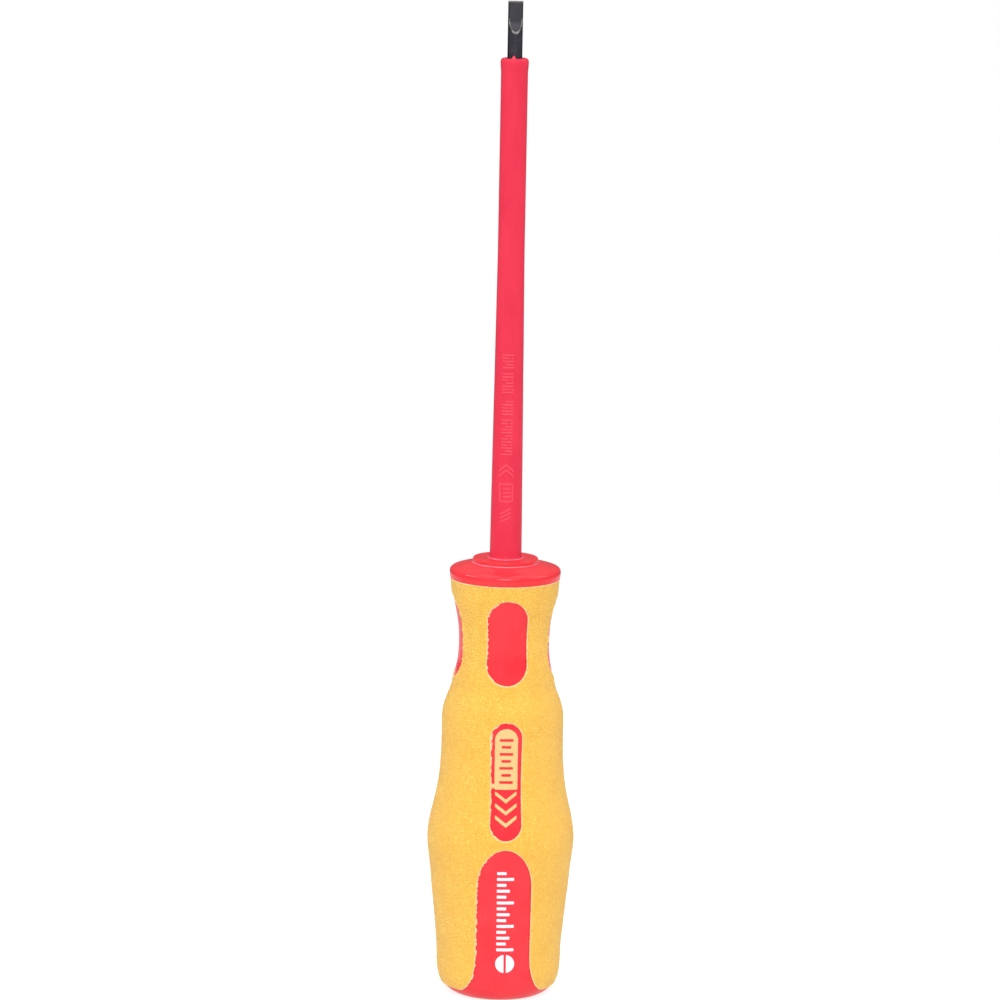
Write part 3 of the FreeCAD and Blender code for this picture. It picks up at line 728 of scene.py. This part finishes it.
def raised(name, shapes, facing, depth, height, roll=0.06, step=0.5, wave=0.0, seed=50):
    """Closed low reliefs on the grip. A shape is (outline, holes) in (across, z), an
    outline a counter-clockwise polygon. depth: how far under the sleeve's surface the face
    that carries them lies; height: how far they stand off it."""
    sign = 1 if facing == FRONT else -1
    steps = [(0.0, -0.06), (0.0, height - roll), (roll * 0.29, height - roll * 0.29),
             (roll, height)]
    verts, faces, count = [], [], 0

    def lift(p, h):
        rad = r_of_z(p[:, 1]) - depth + h
        x = sign * p[:, 0]
        y = -sign * np.sqrt(np.maximum(rad**2 - x**2, 0.01))
        return np.column_stack([x, y, p[:, 1]])

    for outline, holes in shapes:
        tops, bottoms, top_ids, bottom_ids, sizes = [], [], [], [], []
        for k, loop in enumerate([outline] + list(holes)):
            loop = resample(np.array(loop), 0.09)
            n = len(loop)
            area = 0.5 * np.sum(loop[:, 0] * np.roll(loop[:, 1], -1) - np.roll(loop[:, 0], -1) * loop[:, 1])
            t = np.roll(loop, -1, axis=0) - np.roll(loop, 1, axis=0)
            t /= np.linalg.norm(t, axis=1)[:, None]
            into = np.stack([-t[:, 1], t[:, 0]], axis=1) * (1 if area > 0 else -1)
            if k:
                into = -into
            start = count
            for inset, h in steps:
                p = loop + into * inset
                noise = wave * value_noise(np.column_stack([p, p[:, 0] * 0]), 0.8, seed)
                verts.append(lift(p + into * noise[:, None] * (1 if inset == 0 else 0.6), h))
                count += n
            for j in range(len(steps) - 1):
                a, b = start + j * n, start + (j + 1) * n
                faces += [(a + i, a + (i + 1) % n, b + (i + 1) % n, b + i) for i in range(n)]
            tops.append(loop + into * steps[-1][0])
            bottoms.append(loop)
            top_ids += list(range(start + 3 * n, start + 4 * n))
            bottom_ids += list(range(start, start + n))
            sizes.append(n)
        for loops, ids, h in ((tops, top_ids, height), (bottoms, bottom_ids, -0.06)):
            border = np.vstack(loops)
            lo, hi = border.min(axis=0), border.max(axis=0)
            gx, gz = np.meshgrid(np.arange(lo[0] + step / 2, hi[0], step), np.arange(lo[1] + step / 2, hi[1], step))
            grid = np.stack([gx.ravel(), gz.ravel()], axis=1)
            if len(grid):
                ok = inside(loops[0], grid)
                for hole in loops[1:]:
                    ok &= ~inside(hole, grid)
                gap = np.min(np.linalg.norm(grid[:, None, :] - border[None, :, :], axis=2), axis=1)
                grid = grid[ok & (gap > 0.1)]
            tri = triangulate(np.vstack([border, grid]) if len(grid) else border, sizes, 0)
            ids = np.array(ids + list(range(count, count + len(grid))))
            if len(grid):
                verts.append(lift(grid, h))
                count += len(grid)
            faces += ids[tri].tolist()
    obj = make(name, np.vstack(verts), faces)
    tidy_normals(obj)
    return obj


def badge_shapes():
    half, low, top = 2.3, 44.3, 56.55
    arc = [(half * math.cos(a), top - half + half * math.sin(a)) for a in np.linspace(0, math.pi, 40)]
    bridge = [(-half, 45.45), (-3.2, 45.45), (-3.2, 44.55), (-half, 44.55)]
    outline = [(-half + 0.15, low), (half - 0.15, low), (half, low + 0.15)] + arc + bridge
    slots = []
    for k in range(7):
        c = 45.75 + 1.42 * k
        reach = 1.35 if k % 2 == 0 else 0.95
        slots.append(rounded([(-reach, c - 0.27), (reach, c - 0.27), (reach, c + 0.27), (-reach, c + 0.27)], 0.17))
    shapes = [(resample(np.array(outline), 0.07), slots)]
    for k in range(3):
        b = 36.9 + 2.35 * k
        shapes.append((rounded([(0, b), (2.15, b + 1.65), (2.15, b + 2.42), (0, b + 0.78), (-2.15, b + 2.42),
                                (-2.15, b + 1.65)], 0.15), []))
    return shapes


def marking_shapes():
    """A slotted-screw sign and a graduated row of bars."""
    radius, gap, mid = 1.9, 0.24, 8.5

    def shifted(points):
        points = np.array(points)
        return points + np.stack([0.42 - 0.0135 * (points[:, 1] - 8.5), 0 * points[:, 1]], axis=1)

    shapes = []
    for side in (-1, 1):
        a0 = math.asin(gap / radius)
        arc = [(side * radius * math.sin(t), mid - radius * math.cos(t)) for t in np.linspace(a0, math.pi - a0, 60)]
        shapes.append((shifted(rounded(arc, 0.04, 0.08)), []))
    for k in range(14):
        z = 11.45 + 1.24 * k
        half = (1.72, 0.95, 1.3, 0.95)[k % 4]
        t = 0.30
        x0, x1 = -1.72, -1.72 + 2 * half
        shapes.append((shifted(rounded([(x0, z - t), (x1, z - t), (x1, z + t), (x0, z + t)], 0.12, 0.08)), []))
    return shapes


# ---- materials ------------------------------------------------------------------------
class Mat:
    """A small builder for node materials in millimetre object coordinates."""

    def __init__(self, name):
        self.mat = bpy.data.materials.new(name)
        self.mat.use_nodes = True
        self.nt = self.mat.node_tree
        self.bsdf = self.nt.nodes["Principled BSDF"]
        coords = self.nt.nodes.new("ShaderNodeTexCoord")
        scale = self.nt.nodes.new("ShaderNodeMapping")
        scale.inputs["Scale"].default_value = (1000, 1000, 1000)
        self.link(coords.outputs["Object"], scale.inputs["Vector"])
        self.mm = scale.outputs["Vector"]

    def link(self, a, b):
        self.nt.links.new(a, b)

    def stretch(self, scale, turn=(0, 0, 0)):
        m = self.nt.nodes.new("ShaderNodeMapping")
        m.inputs["Scale"].default_value = scale
        m.inputs["Rotation"].default_value = turn
        self.link(self.mm, m.inputs["Vector"])
        return m.outputs["Vector"]

    def noise(self, scale, detail=3.0, rough=0.55, vector=None, distortion=0.0):
        n = self.nt.nodes.new("ShaderNodeTexNoise")
        n.inputs["Scale"].default_value = scale
        n.inputs["Detail"].default_value = detail
        n.inputs["Roughness"].default_value = rough
        n.inputs["Distortion"].default_value = distortion
        self.link(vector or self.mm, n.inputs["Vector"])
        return n.outputs["Fac"]

    def voronoi(self, scale, feature="DISTANCE_TO_EDGE", vector=None):
        n = self.nt.nodes.new("ShaderNodeTexVoronoi")
        n.feature = feature
        n.inputs["Scale"].default_value = scale
        n.inputs["Randomness"].default_value = 0.9
        self.link(vector or self.mm, n.inputs["Vector"])
        return n.outputs["Distance"]

    def span(self, value, a, b, c, d):
        n = self.nt.nodes.new("ShaderNodeMapRange")
        n.interpolation_type = "SMOOTHSTEP"
        for key, x in zip(("From Min", "From Max", "To Min", "To Max"), (a, b, c, d)):
            n.inputs[key].default_value = x
        self.link(value, n.inputs["Value"])
        return n.outputs["Result"]

    def maths(self, op, a, b):
        n = self.nt.nodes.new("ShaderNodeMath")
        n.operation = op
        for k, x in enumerate((a, b)):
            if isinstance(x, (int, float)):
                n.inputs[k].default_value = x
            else:
                self.link(x, n.inputs[k])
        return n.outputs["Value"]

    def attribute(self, name):
        n = self.nt.nodes.new("ShaderNodeAttribute")
        n.attribute_name = name
        return n.outputs["Fac"]

    def blend(self, fac, a, b):
        n = self.nt.nodes.new("ShaderNodeMix")
        n.data_type = "RGBA"
        sockets = {s.identifier: s for s in n.inputs}
        self.link(fac, sockets["Factor_Float"])
        for key, x in (("A_Color", a), ("B_Color", b)):
            if isinstance(x, tuple):
                sockets[key].default_value = (*x, 1)
            else:
                self.link(x, sockets[key])
        return [s for s in n.outputs if s.identifier == "Result_Color"][0]

    def bump(self, height, strength, distance):
        n = self.nt.nodes.new("ShaderNodeBump")
        n.inputs["Strength"].default_value = strength
        n.inputs["Distance"].default_value = distance
        self.link(height, n.inputs["Height"])
        previous = self.bsdf.inputs["Normal"].links
        if previous:
            self.link(previous[0].from_socket, n.inputs["Normal"])
        self.link(n.outputs["Normal"], self.bsdf.inputs["Normal"])

    def set(self, **values):
        for key, x in values.items():
            socket = self.bsdf.inputs[key.replace("_", " ")]
            if hasattr(x, "links"):
                self.link(x, socket)
            else:
                socket.default_value = (*x, 1) if isinstance(x, tuple) else x


def soft_grip():
    m = Mat("soft_grip")
    wobble = m.noise(1.6, 2.0)
    warp = m.nt.nodes.new("ShaderNodeVectorMath")
    warp.operation = "MULTIPLY_ADD"
    m.link(m.mm, warp.inputs[2])
    comb = m.nt.nodes.new("ShaderNodeCombineXYZ")
    for k in range(3):
        m.link(wobble, comb.inputs[k])
    m.link(comb.outputs[0], warp.inputs[0])
    warp.inputs[1].default_value = (0.55, -0.4, 0.5)
    cell = m.voronoi(1.65, vector=warp.outputs[0])
    groove = m.span(cell, 0.0, 0.20, 1.0, 0.0)
    fine = m.noise(5.5, 3.0, 0.6)
    broad = m.noise(0.16, 3.0, 0.5)
    base = m.blend(m.span(broad, 0.35, 0.7, 0.0, 1.0), (0.85, 0.470, 0.050), (0.87, 0.520, 0.066))
    base = m.blend(m.span(fine, 0.35, 0.75, 0.0, 0.45), base, (0.90, 0.62, 0.13))
    mottle = m.noise(1.15, 3.0, 0.6, m.stretch((1.0, 1.0, 0.55), (0.5, 0.3, 0.0)))
    base = m.blend(m.span(mottle, 0.42, 0.72, 0.0, 0.45), base, (0.92, 0.64, 0.12))
    # painted shade: the grain's grooves are darkened towards orange-brown, standing in for the shade that falls in
    # the creases
    base = m.blend(m.maths("MULTIPLY", groove, 0.58), base, (0.82, 0.36, 0.024))
    # painted highlight, partly real: along every edge of the sleeve and down the window walls the colour is
    # lightened to cream; the thin flash there is a little paler, but most of this lightening stands in for the
    # light the rounded lip catches
    rim = m.attribute("rim")
    speck = m.span(m.noise(2.3, 2.0), 0.3, 0.62, 0.35, 1.0)
    base = m.blend(m.maths("MULTIPLY", rim, m.maths("MULTIPLY", speck, 0.95)), base, (0.98, 0.78, 0.48))
    m.set(Base_Color=base, Roughness=m.span(fine, 0.3, 0.75, 0.52, 0.72))
    m.set(Specular_IOR_Level=0.35, Sheen_Weight=0.12, Sheen_Roughness=0.5)
    m.bump(m.maths("SUBTRACT", m.span(fine, 0.2, 0.8, 0, 0.7), groove), 1.0, 0.00010)
    return m.mat


def inlay():
    m = Mat("soft_inlay")
    fine = m.noise(3.2, 3.0, 0.6)
    base = m.blend(m.span(fine, 0.35, 0.7, 0.0, 1.0), (0.80, 0.42, 0.16), (0.84, 0.50, 0.22))
    m.set(Base_Color=base, Roughness=m.span(fine, 0.3, 0.7, 0.5, 0.66), Specular_IOR_Level=0.35)
    m.bump(fine, 0.25, 0.00003)
    return m.mat


def hard_red(name, low, high, rough, grain=0.12, gloss=0.20):
    """Moulded red plastic: cloudy colour, satin with faint rub marks and fine texture."""
    m = Mat(name)
    cloud = m.noise(0.22, 4.0, 0.55)
    fine = m.noise(9.0, 2.0, 0.5)
    rub = m.noise(1.1, 5.0, 0.65, m.stretch((1.0, 1.0, 0.12), (0.35, 0.2, 0.0)))
    base = m.blend(m.span(cloud, 0.3, 0.72, 0.0, 1.0), low, high)
    base = m.blend(m.span(rub, 0.62, 0.8, 0.0, 0.16), base, (0.85, 0.20, 0.20))
    shine = m.maths("ADD", m.span(cloud, 0.3, 0.7, rough - 0.04, rough + 0.05), m.span(rub, 0.5, 0.8, 0.0, 0.10))
    # moulded plastic has little mirror gloss left where the surface turns away
    turn = m.nt.nodes.new("ShaderNodeLayerWeight")
    turn.inputs["Blend"].default_value = 0.5
    m.set(Base_Color=base, Roughness=shine, Specular_IOR_Level=m.span(turn.outputs["Facing"], 0.5, 0.92, gloss, 0.15 * gloss))
    m.bump(m.maths("ADD", m.maths("MULTIPLY", fine, 0.5), m.noise(2.6, 2.0)), grain, 0.00004)
    return m.mat


def sheath_red():
    m = Mat("sheath_plastic")
    cloud = m.noise(0.3, 4.0, 0.6, m.stretch((1, 1, 0.35)))
    fine = m.noise(7.0, 3.0, 0.6)
    base = m.blend(m.span(cloud, 0.3, 0.7, 0.0, 1.0), (0.63, 0.030, 0.063), (0.675, 0.037, 0.071))
    # painted highlight: the raised marks and the tip of the flash nub are lighter pink, standing in for the light
    # their edges catch
    base = m.blend(m.maths("MULTIPLY", m.attribute("raised"), 0.5), base, (0.86, 0.11, 0.15))
    m.set(Base_Color=base, Roughness=m.span(fine, 0.3, 0.7, 0.36, 0.48), Specular_IOR_Level=0.07)
    m.bump(fine, 0.22, 0.00004)
    return m.mat


def blade_black():
    """Black oxide over turned bar and ground flats. Where the flats run out of the bar a thin
    lighter line is painted: partly bare metal, partly a painted highlight of that edge. The tip's
    end is painted lighter, partly wear and partly a painted highlight, and the two sides
    between the flats carry painted shade."""
    m = Mat("blade_steel")
    lines = m.noise(16.0, 2.0, 0.6, m.stretch((0.35, 1.0, 1.6)))
    cloud = m.noise(0.9, 4.0, 0.6)
    base = m.blend(m.span(cloud, 0.3, 0.7, 0.0, 1.0), (0.026, 0.024, 0.032), (0.038, 0.035, 0.044))
    base = m.blend(m.span(lines, 0.55, 0.8, 0.0, 0.22), base, (0.08, 0.075, 0.09))
    sep = m.nt.nodes.new("ShaderNodeSeparateXYZ")
    m.link(m.mm, sep.inputs[0])
    x, y, z = sep.outputs["X"], sep.outputs["Y"], sep.outputs["Z"]
    radius = m.maths("SQRT", m.maths("ADD", m.maths("MULTIPLY", x, x), m.maths("MULTIPLY", y, y)), 0.0)
    ramp = m.nt.nodes.new("ShaderNodeFloatCurve")
    points = ramp.mapping.curves[0].points
    flat = [(0.0, 1.0), (0.45, 0.735), (0.5, 0.695), (0.58, 0.64), (0.8167, 0.50), (1.0, 0.478)]
    points[0].location, points[1].location = flat[0], flat[-1]
    for p in flat[1:-1]:
        points.new(*p)
    ramp.mapping.update()
    m.link(m.maths("DIVIDE", m.maths("SUBTRACT", z, 193.45), 3.0), ramp.inputs["Value"])
    half = m.maths("MULTIPLY", ramp.outputs["Value"], 1.5)
    gap = m.maths("SUBTRACT", m.maths("ABSOLUTE", y, 0.0), half)
    # painted highlight, partly real: a thin lighter line along the run-out of the flats, bare metal left by the
    # grinding plus the glint that this edge catches
    edge = m.maths("MULTIPLY", m.span(gap, -0.07, -0.025, 0.0, 1.0), m.span(radius, 1.30, 1.43, 0.0, 1.0))
    edge = m.maths("MULTIPLY", edge, m.maths("MULTIPLY", m.span(z, 196.6, 197.6, 1.0, 0.0), m.span(z, 193.5, 193.8, 0.0, 1.0)))
    edge = m.maths("MULTIPLY", edge, m.span(m.noise(2.6, 3.0), 0.3, 0.6, 0.25, 1.0))
    base = m.blend(m.span(z, 195.2, 196.4, 0.0, 0.32), base, (0.002, 0.002, 0.004))
    # painted shade: the two sides left between the flats are darkened to near black, standing in for the dark edges
    # that the lighting does not give
    side = m.maths("ABSOLUTE", x, 0.0)
    base = m.blend(m.span(side, 1.12, 1.28, 0.0, 0.95), base, (0.003, 0.002, 0.004))
    base = m.blend(m.maths("MULTIPLY", edge, 0.48), base, (0.46, 0.43, 0.38))
    # partly wear, partly a painted highlight: the last 0.4 mm of the tip is painted a lighter bare-steel colour
    worn_tip_and_highlight = m.maths("MULTIPLY", m.span(z, 199.6, 200.0, 0.0, 0.6), m.span(m.noise(4.0, 3.0), 0.35, 0.65, 0.2, 1.0))
    base = m.blend(worn_tip_and_highlight, base, (0.42, 0.38, 0.34))
    m.set(Base_Color=base, Metallic=0.15, Roughness=m.span(lines, 0.3, 0.75, 0.40, 0.54), Specular_IOR_Level=0.18)
    m.bump(lines, 0.2, 0.00002)
    return m.mat


def print_white():
    m = Mat("marking_ink")
    wear = m.noise(3.4, 4.0, 0.65)
    base = m.blend(m.span(wear, 0.3, 0.7, 0.0, 1.0), (0.75, 0.68, 0.79), (0.82, 0.78, 0.85))
    m.set(Base_Color=base, Roughness=m.span(wear, 0.3, 0.7, 0.5, 0.62), Specular_IOR_Level=0.3)
    m.bump(wear, 0.15, 0.00001)
    return m.mat


grip_mat = soft_grip()
inlay_mat = inlay()
shell_mat = hard_red("handle_plastic", (0.70, 0.028, 0.040), (0.75, 0.036, 0.049), 0.15)
# painted highlight: the beads use a lighter, pinker copy of the handle plastic so that they show as bright lines
bead_highlight_mat = hard_red("handle_bead_painted_highlight", (0.84, 0.15, 0.22), (0.88, 0.20, 0.27), 0.12, 0.06, 0.6)
sheath_mat = sheath_red()
steel_mat = blade_black()
ink_mat = print_white()


def dress(node, mat):
    o = nodes[node]
    if len(o.material_slots) == 0:
        o.data.materials.append(mat)
    for slot in o.material_slots:
        slot.link = "OBJECT"
        slot.material = mat


dress("blade", steel_mat)
dress("handle_core", shell_mat)
dress("handle_shell", shell_mat)
dress("grip_sleeve", grip_mat)
dress("blade_insulation", sheath_mat)
dress("badge_inlay_front", inlay_mat)
dress("badge_inlay_rear", inlay_mat)


def add(obj, mat, replaced=None):
    obj.data.materials.append(mat)
    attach(obj, "root")
    if replaced:
        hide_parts(replaced)


skin = grip_skin()
tidy_normals(skin)
add(skin, grip_mat, "grip_sleeve")
sheath = sheath_skin()
tidy_normals(sheath)
add(sheath, sheath_mat, "blade_insulation")
shapes = badge_shapes()
for facing, side in ((FRONT, "front"), (REAR, "rear")):
    badge = raised("badge_relief_" + side, shapes, facing, 0.28, 0.2, roll=0.07, wave=0.02)
    add(badge, inlay_mat, "badge_inlay_" + side)
marking = raised("marking_print", marking_shapes(), FRONT, 0.28, 0.03, roll=0.012, wave=0.012)
add(marking, ink_mat)


def gate_mark():
    """The stub left where the nose disc's gate was cut off, on its rim."""
    import bmesh

    bm = bmesh.new()
    bmesh.ops.create_icosphere(bm, subdivisions=4, radius=1.0)
    angle = math.radians(316)
    centre = Vector((6.44 * math.cos(angle), 6.44 * math.sin(angle), 88.42))
    for v in bm.verts:
        p = np.array([v.co[:]])
        k = 1 + 0.10 * value_noise(p, 0.7, 61)[0] + 0.05 * value_noise(p, 0.3, 62)[0]
        local = Vector((v.co.x * 0.26, v.co.y * 0.52, v.co.z * 0.30)) * k
        local.x = min(local.x, 0.19)
        v.co = (Matrix.Rotation(angle, 3, "Z") @ local + centre) * 0.001
    for f in bm.faces:
        f.smooth = True
    mesh = bpy.data.meshes.new("gate_mark")
    bm.to_mesh(mesh)
    bm.free()
    obj = bpy.data.objects.new("gate_mark", mesh)
    scene.collection.objects.link(obj)
    return obj


add(gate_mark(), shell_mat)


def bead(name, radius, z, size, seed):
    """A fine moulding bead round the tool, where two diameters meet."""
    around, section = 220, 12
    verts, faces = [], []
    for i in range(around):
        a = 2 * math.pi * i / around
        w = size * (1 + 0.12 * value_noise(np.array([[9 * math.cos(a), 9 * math.sin(a), 0.0]]), 1.7, seed)[0])
        for j in range(section):
            b = 2 * math.pi * j / section
            r = radius + w * math.cos(b)
            verts.append((r * math.cos(a), r * math.sin(a), z + w * math.sin(b)))
    for i in range(around):
        for j in range(section):
            k, l = (i + 1) % around, (j + 1) % section
            faces.append((i * section + j, k * section + j, k * section + l, i * section + l))
    obj = make(name, np.array(verts), faces)
    tidy_normals(obj)
    return obj


add(bead("nose_bead", 6.56, 88.14, 0.14, 71), bead_highlight_mat)
add(bead("foot_bead", 3.52, 89.09, 0.11, 72), bead_highlight_mat)


# ---- camera ---------------------------------------------------------------------------
def add_camera():
    height = 0.10065
    distance = 1.0127
    elevation = math.radians(10.04)
    roll = math.radians(1.05)
    turn = math.radians(4.2)
    forward = Vector((0, math.cos(elevation), -math.sin(elevation)))
    right0 = Vector((1, 0, 0))
    up0 = right0.cross(forward)
    right = math.cos(roll) * right0 + math.sin(roll) * up0
    up = -math.sin(roll) * right0 + math.cos(roll) * up0
    place = Vector((0, 0, height)) - distance * forward - 0.00132 * right
    m = Matrix.Identity(4)
    for k, axis in enumerate((right, up, -forward)):
        for r in range(3):
            m[r][k] = axis[r]
    m.translation = place
    m = Matrix.Rotation(-turn, 4, "Z") @ m
    data = bpy.data.cameras.new("Camera")
    data.sensor_width = 36
    data.lens = 182.86
    data.clip_start = 0.01
    data.clip_end = 100
    cam = bpy.data.objects.new("Camera", data)
    scene.collection.objects.link(cam)
    cam.matrix_world = m
    scene.camera = cam


add_camera()

# ---- light and floor --------------------------------------------------------------------
scene.view_settings.view_transform = "Standard"
world = bpy.data.worlds.new("World")
scene.world = world
world.use_nodes = True
# A white room: seen directly it is plain white. As a light it is dimmer, most towards the
# horizon, so that the softboxes above shape the piece.
wt = world.node_tree
background = wt.nodes["Background"]
direction = wt.nodes.new("ShaderNodeTexCoord")
split = wt.nodes.new("ShaderNodeSeparateXYZ")
wt.links.new(direction.outputs["Generated"], split.inputs[0])
squared = wt.nodes.new("ShaderNodeMath")
squared.operation = "MULTIPLY"
wt.links.new(split.outputs["Z"], squared.inputs[0])
wt.links.new(split.outputs["Z"], squared.inputs[1])
dim = wt.nodes.new("ShaderNodeMapRange")
for key, x in (("From Min", 0.0), ("From Max", 1.0), ("To Min", 0.22), ("To Max", 0.85)):
    dim.inputs[key].default_value = x
wt.links.new(squared.outputs[0], dim.inputs["Value"])
ray = wt.nodes.new("ShaderNodeLightPath")
strength = wt.nodes.new("ShaderNodeMix")
strength.data_type = "FLOAT"
wt.links.new(ray.outputs["Is Camera Ray"], strength.inputs[0])
wt.links.new(dim.outputs["Result"], strength.inputs[2])
strength.inputs[3].default_value = 1.0
background.inputs[0].default_value = (1, 1, 1, 1)
wt.links.new(strength.outputs[0], background.inputs[1])


def area(name, loc, aim, size, power):
    data = bpy.data.lights.new(name, "AREA")
    data.shape = "RECTANGLE"
    data.size, data.size_y = size
    data.energy = power
    obj = bpy.data.objects.new(name, data)
    scene.collection.objects.link(obj)
    obj.location = loc
    obj.rotation_euler = (Vector(aim) - Vector(loc)).to_track_quat("-Z", "Y").to_euler()


area("Key", (-0.06, -1.05, 0.60), (0, 0, 0.09), (0.50, 0.30), 8.0)
area("Glint", (-0.16, -0.98, 0.90), (0, 0, 0.09), (1.8, 0.03), 4.8)
area("BackKey", (0.2, 0.34, 1.42), (0, 0, 0.09), (1.5, 0.8), 4.9)
area("LeftFill", (-0.85, 0.05, 0.8), (0, 0, 0.09), (0.6, 0.4), 4.7)
area("RightFill", (0.9, 0.0, 0.8), (0, 0, 0.09), (0.7, 0.5), 4.3)

n, size = 24, 0.45
grid = [(-size + 2 * size * i / n, -size + 2 * size * j / n, 0) for j in range(n + 1) for i in range(n + 1)]
quads = [(j * (n + 1) + i, j * (n + 1) + i + 1, (j + 1) * (n + 1) + i + 1, (j + 1) * (n + 1) + i)
         for j in range(n) for i in range(n)]
floor_mesh = bpy.data.meshes.new("Floor")
floor_mesh.from_pydata(grid, [], quads)
floor = bpy.data.objects.new("Floor", floor_mesh)
scene.collection.objects.link(floor)
paper = bpy.data.materials.new("paper")
paper.use_nodes = True
pb = paper.node_tree.nodes["Principled BSDF"]
pb.inputs["Base Color"].default_value = (0.3, 0.3, 0.3, 1)
pb.inputs["Roughness"].default_value = 0.9
pb.inputs["Specular IOR Level"].default_value = 0.1
pb.inputs["Emission Color"].default_value = (1, 1, 1, 1)
pb.inputs["Emission Strength"].default_value = 0.78
floor_mesh.materials.append(paper)
